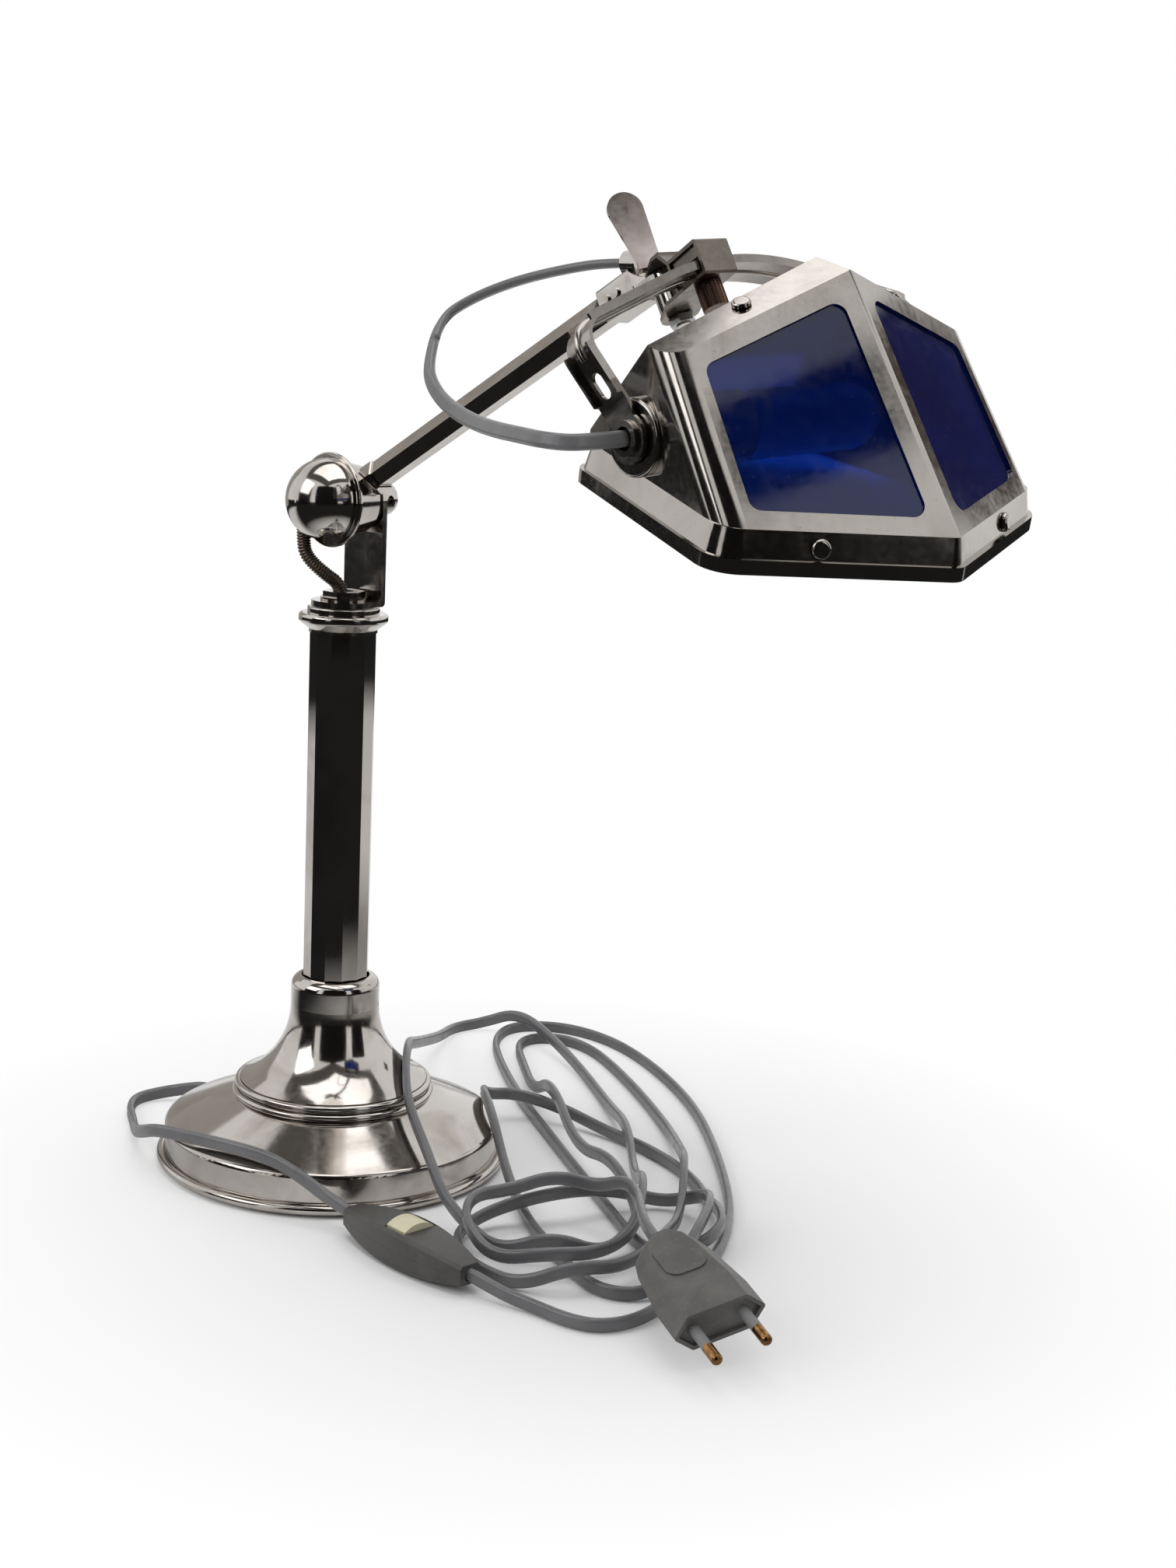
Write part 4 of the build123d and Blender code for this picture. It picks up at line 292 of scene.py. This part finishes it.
iron = moulded("cast_iron", (0.06, 0.058, 0.055), (0.1, 0.07, 0.05), rough=0.7, grain=400)

THIN_COBALT = (0.005, 0.04, 0.34)
DEEP_COBALT = (0.002, 0.018, 0.2)


def blue_glass():
    """Cobalt glass with a slightly rolled surface and a few seeds."""
    made = Finish("cobalt_glass", (0.02, 0.1, 0.6), rough=0.04)
    depth = made.span(made.noise(scale=14, detail=3), low=0.0, high=1.0)
    made.set("Base Color", made.mix(depth, DEEP_COBALT, THIN_COBALT))
    made.set("Roughness", made.span(made.noise(scale=240, detail=4), low=0.03, high=0.08))
    made.set("Transmission Weight", 0.85)
    made.set("IOR", 1.52)
    made.bump(made.noise(scale=26, detail=2), strength=0.08, distance=0.0006)
    seeds = made.span(made.cells(scale=330), low=1.0, high=0.0, start=0.0, stop=0.08)
    made.bump(seeds, strength=0.1, distance=0.0001)
    return made.material


def frosted_glass():
    made = Finish("frosted_bulb", (0.9, 0.9, 0.88), rough=0.35)
    made.set("Transmission Weight", 0.5)
    made.set("Roughness", made.span(made.noise(scale=300, detail=4), low=0.3, high=0.45))
    made.bump(made.noise(scale=900, detail=3), strength=0.1, distance=0.0001)
    return made.material


PIN_AXIS = Vector((0.9058, -0.3939, -0.156)).normalized()
PIN_ROOT = Vector((0.2339, -0.0331, 0.0173))
SLEEVE_LENGTH = 0.0095
SLEEVE_EDGE = 0.0001        # over which the sleeve turns into metal
SLEEVE_GREY = (0.2, 0.2, 0.2)
COPPER = (0.45, 0.23, 0.08)
DARK_COPPER = (0.16, 0.08, 0.035)


def pin_metal():
    """A pin: grey sleeve at its root, copper-coloured metal at its tip."""
    made = Finish("plug_pin", (0.5, 0.3, 0.13), rough=0.25, metal=1.0)
    tip_starts = PIN_ROOT.dot(PIN_AXIS) + SLEEVE_LENGTH
    bare = made.span(made.measure("DOT_PRODUCT", PIN_AXIS), low=0.0, high=1.0,
                     start=tip_starts - SLEEVE_EDGE, stop=tip_starts + SLEEVE_EDGE)
    worn = made.mix(made.span(made.noise(scale=500, detail=4), low=0.0, high=1.0), COPPER, DARK_COPPER)
    made.set("Base Color", made.mix(bare, SLEEVE_GREY, worn))
    made.set("Metallic", bare)
    made.set("Roughness", made.span(bare, low=0.5, high=0.22, start=0.0, stop=1.0))
    made.bump(made.noise(scale=900, detail=3), strength=0.1, distance=0.00005)
    return made.material


FINISHES = {
    nickel: "base_shell base_bell column_collar ball_drum ball_ring ball_cap pivot_knob arm_knuckle "
            "knuckle_screws head_bolt swivel_nut pivot_eyelets arm_bracket",
    strap_metal: "yoke_strap",
    nickel_tube: "column_tube",
    nickel_arm: "arm_tube arm_sleeve",
    nickel_shade: "shade_shell pivot_bosses shade_screws",
    nickel_lever: "thumb_lever",
    clip_metal: "clip_box clip_saddle",
    steel: "tie_tube base_washer base_nut pivot_stud spring_washer head_nut pivot_washers pivot_nut "
           "glass_tabs",
    brass: "lampholder_shell bulb_cap",
    blackened: "clip_thumbscrew",
    dark_plastic: "switch_lower switch_upper",
    plug_plastic: "plug_body",
    cream_plastic: "switch_rocker",
    bakelite: "lampholder_core cable_grommet",
    felt: "base_pad",
    iron: "base_ballast",
    blue_glass(): "glass_left glass_right",
    frosted_glass(): "bulb_glass",
    pin_metal(): "plug_pins",
}
for finish, names in FINISHES.items():
    for name in names.split():
        for slot in nodes[name].material_slots:
            slot.material = finish


# Cords

def metres(point):
    return tuple(number * MM for number in point)


def nurbs(name, points):
    """A curve object of one open spline through the route's points."""
    data = bpy.data.curves.new(name, "CURVE")
    data.dimensions = "3D"
    data.resolution_u = SPLINE_STEPS
    spline = data.splines.new("NURBS")
    spline.points.add(len(points) - 1)
    for point, spot in zip(spline.points, points):
        point.co = (*metres(spot), 1)
    spline.order_u = 3
    spline.use_endpoint_u = True
    return bpy.data.objects.new(name, data)


def flat_profile():
    """The flat cord's section: two round cores side by side with a shallow groove."""
    data = bpy.data.curves.new("flat_cord_section", "CURVE")
    data.dimensions = "2D"
    spline = data.splines.new("POLY")
    core = CORD_THICKNESS / 2
    reach = CORD_WIDTH / 2 - core
    outline = []
    for side in (1, -1):
        for step in range(CORE_STEPS + 1):
            angle = math.pi * (step / CORE_STEPS - 0.5) + (math.pi if side < 0 else 0)
            outline.append((side * reach + core * math.cos(angle), core * math.sin(angle)))
        outline.append((0, side * CORD_WAIST / 2))
    spline.points.add(len(outline) - 1)
    for point, (across, high) in zip(spline.points, outline):
        point.co = (across, high, 0, 1)
    spline.use_cyclic_u = True
    return bpy.data.objects.new("flat_cord_section", data)


section = flat_profile()


def mains_piece(name, route):
    """The flat mains cord along a route, standing on its edge."""
    piece = nurbs(name, route)
    piece.data.bevel_mode = "OBJECT"
    piece.data.bevel_object = section
    piece.data.twist_mode = "Z_UP"
    piece.data.use_fill_caps = True
    for point in piece.data.splines[0].points:
        point.tilt = math.pi / 2
    piece.data.materials.append(cord_grey)
    scene.collection.objects.link(piece)
    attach(piece, "base")
    return piece


lead = mains_piece("mains_lead_sheath", LEAD_ROUTE)
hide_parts("mains_cord_lead")
mains = mains_piece("mains_cord_sheath", CORD_ROUTE)
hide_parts("mains_cord")


def line_of(name, route):
    """Points along the route's NURBS spline."""
    curve = nurbs(name, route)
    scene.collection.objects.link(curve)
    mesh = bpy.data.meshes.new_from_object(curve)
    points = [vertex.co.copy() for vertex in mesh.vertices]
    bpy.data.objects.remove(curve)
    bpy.data.meshes.remove(mesh)
    return points


def swept(name, points, ring_at, wide):
    """A closed tube along a line, and the direction across it at its end.

    ring_at gives the (across, outward) points round the line at each of its points, and wide is
    the direction across at its start.
    """
    verts = []
    faces = []
    count = len(points)
    for index, point in enumerate(points):
        along = (points[min(index + 1, count - 1)] - points[max(index - 1, 0)]).normalized()
        wide = (wide - along * wide.dot(along)).normalized()
        out = along.cross(wide)
        verts += [point + wide * across + out * outward for across, outward in ring_at(index)]
    size = len(verts) // count
    for step in range(count - 1):
        for corner in range(size):
            here = step * size + corner
            beside = step * size + (corner + 1) % size
            faces.append((here, beside, beside + size, here + size))
    faces.append(tuple(range(size))[::-1])
    faces.append(tuple(range((count - 1) * size, count * size)))
    mesh = bpy.data.meshes.new(name)
    mesh.from_pydata(verts, [], faces)
    for polygon in mesh.polygons:
        polygon.use_smooth = len(polygon.vertices) == 4
    piece = bpy.data.objects.new(name, mesh)
    scene.collection.objects.link(piece)
    return piece, wide


def flat_ring(index):
    return [(point.co.x, point.co.y) for point in section.data.splines[0].points]


rear_line = line_of("rear_line", HEAD_CORD_REAR)
front_line = line_of("front_line", HEAD_CORD_FRONT)
rear, wide = swept("head_cord_rear_sheath", rear_line, flat_ring, Vector((0, 1, 0)))
front = swept("head_cord_front_sheath", front_line, flat_ring, wide)[0]
for piece, line, node, length, ends in (
        (rear, rear_line, "head_cord_rear", 0.089, ("arm", "clip")),
        (front, front_line, "head_cord_front", 0.144, ("clip", "yoke"))):
    piece.data.materials.append(cord_grey)
    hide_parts(node)
    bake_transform(piece)

# Ribbed conduit, its radii over the ribs and in the grooves between them
CONDUIT_OUTSIDE = 0.0027
CONDUIT_GROOVE = 0.0022
RIB_PITCH = 0.0011
RIB_ROUNDING = 0.0001       # from a rib's top down to its shoulders
RIB_RADII = (CONDUIT_GROOVE, CONDUIT_OUTSIDE - RIB_ROUNDING,
             CONDUIT_OUTSIDE, CONDUIT_OUTSIDE - RIB_ROUNDING)
RIB_SIDES = 28


def along_line(points, step):
    """Points a step apart along a line."""
    result = [points[0]]
    carried = 0.0
    for start, stop in zip(points, points[1:]):
        run = (stop - start).length
        while carried + run >= step:
            share = (step - carried) / run
            start = start.lerp(stop, share)
            run = (stop - start).length
            carried = 0.0
            result.append(start.copy())
        carried += run
    return result


def ribbed_ring(index):
    radius = RIB_RADII[index % len(RIB_RADII)]
    angles = [2 * math.pi * side / RIB_SIDES for side in range(RIB_SIDES)]
    return [(radius * math.cos(angle), radius * math.sin(angle)) for angle in angles]


conduit_line = along_line(line_of("conduit_line", CONDUIT_ROUTE), RIB_PITCH / len(RIB_RADII))
conduit = swept("ribbed_conduit", conduit_line, ribbed_ring, Vector((1, 0, 0)))[0]
conduit.data.materials.append(bronze)
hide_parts("cable_conduit")
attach(conduit, "bracket")


# Floor, backdrop and lights

FLOOR_LEVEL = -0.0002
FLOOR_SIZE = 8
DARK_FLOOR = (0.85, 0.85, 0.85)
LIGHT_FLOOR = (0.89, 0.89, 0.89)
SHADOW_MIDDLE = (0.08, 0.03, 0)
TOWARD_CAMERA = (0.76, -0.65, 0)
FLOOR_GLOW = [      # ray, distances from the shadow where its glow starts and is full, brightness
    ("Is Camera Ray", 0.1, 0.27, 1.0),
    ("Is Transmission Ray", 0.16, 0.42, 1.0),
    ("Is Glossy Ray", 0.1, 0.3, 0.02),
]


def floor_material():
    """Pale floor that keeps the lamp's shadow and is white away from it.

    In reflections it is dark toward the camera and far off.
    """
    made = Finish("pale_floor", (0.86, 0.86, 0.86), rough=0.9)
    made.set("Specular IOR Level", 0.1)
    made.set("Base Color", made.mix(made.noise(scale=3, detail=2), DARK_FLOOR, LIGHT_FLOOR))
    rays = made.add("ShaderNodeLightPath")
    distance = made.measure("DISTANCE", SHADOW_MIDDLE)
    toward = made.measure("DOT_PRODUCT", TOWARD_CAMERA)
    ahead = made.span(toward, low=0.0, high=1.0, start=-0.2, stop=-0.05)
    distant = made.span(distance, low=0.0, high=1.0, start=1.0, stop=1.2)
    shader = made.shader.outputs[0]
    for ray, start, stop, brightness in FLOOR_GLOW:
        share = made.span(distance, low=0.0, high=1.0, start=start, stop=stop)
        if brightness < 1:
            share = made.combine(share, made.combine(ahead, distant, "MAXIMUM"))
        light = made.add("ShaderNodeEmission")
        light.inputs["Color"].default_value = (brightness, brightness, brightness, 1)
        blend = made.add("ShaderNodeMixShader")
        made.feed(blend.inputs[0], made.combine(rays.outputs[ray], share))
        made.feed(blend.inputs[1], shader)
        made.feed(blend.inputs[2], light.outputs[0])
        shader = blend.outputs[0]
    made.feed(made.tree.nodes["Material Output"].inputs["Surface"], shader)
    return made.material


def sheet_object(name, middle, across, upward, width, height, material):
    """A flat rectangle given by its middle and two directions."""
    middle = Vector(middle)
    aside = Vector(across).normalized() * width / 2
    above = Vector(upward).normalized() * height / 2
    corners = [middle - aside - above, middle + aside - above, middle + aside + above, middle - aside + above]
    mesh = bpy.data.meshes.new(name)
    mesh.from_pydata(corners, [], [(0, 1, 2, 3)])
    mesh.materials.append(material)
    made = bpy.data.objects.new(name, mesh)
    scene.collection.objects.link(made)
    return made


sheet_object("floor", (0, 0, FLOOR_LEVEL), (1, 0, 0), (0, 1, 0), FLOOR_SIZE, FLOOR_SIZE,
             floor_material())


def card_material(name, color, shine):
    made = Finish(name, color, rough=0.9)
    made.set("Specular IOR Level", shine)
    return made.material


dark_card = card_material("dark_card", (0.012, 0.011, 0.011), shine=0.0)
dim_card = card_material("dim_card", (0.16, 0.15, 0.14), shine=0.0)
mid_card = card_material("mid_card", (0.55, 0.52, 0.49), shine=0.5)
brown_card = card_material("brown_card", (0.05, 0.028, 0.018), shine=0.5)

# Cards that only reflections show
CARDS = [   # middle, direction across, direction up, width, height, material
    ((1.05, -0.95, 0.6), (1, 1, 0), (0, 0, 1), 1.7, 1.9, dark_card),
    ((-0.45, -1.5, 0.6), (1, -0.35, 0), (0, 0, 1), 1.1, 1.5, dark_card),
    ((1.75, 0.55, 0.6), (0.1, 1, 0), (0, 0, 1), 1.0, 1.5, dark_card),
    ((-1.5, 0.5, 0.5), (0.1, 1, 0), (0, 0, 1), 1.3, 1.3, mid_card),
    ((1.048, -0.068, 1.21), (0.2, 1, 0.2), (-0.746, 0, 0.665), 0.17, 0.085, dark_card),
    ((0.312, 1.149, 0.723), (1, -0.05, 0), (0, -0.342, 0.94), 0.13, 0.19, brown_card),
    ((0.1, 0.0, 1.9), (1, 0, 0), (0, 1, 0), 2.6, 2.6, dim_card),
]
for index, (middle, across, upward, width, height, material) in enumerate(CARDS):
    card = sheet_object(f"card_{index}", middle, across, upward, width, height, material)
    card.visible_camera = False
    card.visible_diffuse = False
    card.visible_shadow = False
    card.visible_transmission = False

WORLD_LIGHT = 0.6
WHITE = 1.0


def studio_world():
    """Even pale light, plain white where it is seen, reflected or looked through to."""
    world = bpy.data.worlds.new("studio")
    scene.world = world
    world.use_nodes = True
    tree = world.node_tree
    rays = tree.nodes.new("ShaderNodeLightPath")
    shown = rays.outputs["Is Camera Ray"]
    for ray in ("Is Glossy Ray", "Is Transmission Ray"):
        either = tree.nodes.new("ShaderNodeMath")
        either.operation = "MAXIMUM"
        tree.links.new(shown, either.inputs[0])
        tree.links.new(rays.outputs[ray], either.inputs[1])
        shown = either.outputs[0]
    level = tree.nodes.new("ShaderNodeMapRange")
    level.inputs["To Min"].default_value = WORLD_LIGHT
    level.inputs["To Max"].default_value = WHITE
    tree.links.new(shown, level.inputs["Value"])
    tree.links.new(level.outputs["Result"], tree.nodes["Background"].inputs["Strength"])
    tree.nodes["Background"].inputs["Color"].default_value = (1, 1, 1, 1)


def area_lamp(name, spot, target, size, watts):
    data = bpy.data.lights.new(name, "AREA")
    data.size = size
    data.energy = watts
    lamp = bpy.data.objects.new(name, data)
    lamp.location = spot
    lamp.rotation_euler = (Vector(target) - Vector(spot)).to_track_quat("-Z", "Y").to_euler()
    scene.collection.objects.link(lamp)


studio_world()
area_lamp("soft_top", spot=(0.1, 0.1, 1.5), target=(0.1, 0, 0.1), size=1.2, watts=9)
area_lamp("soft_left", spot=(-0.4, -1.2, 1.0), target=(0.1, 0, 0.15), size=0.8, watts=5)

scene.view_settings.view_transform = "Standard"
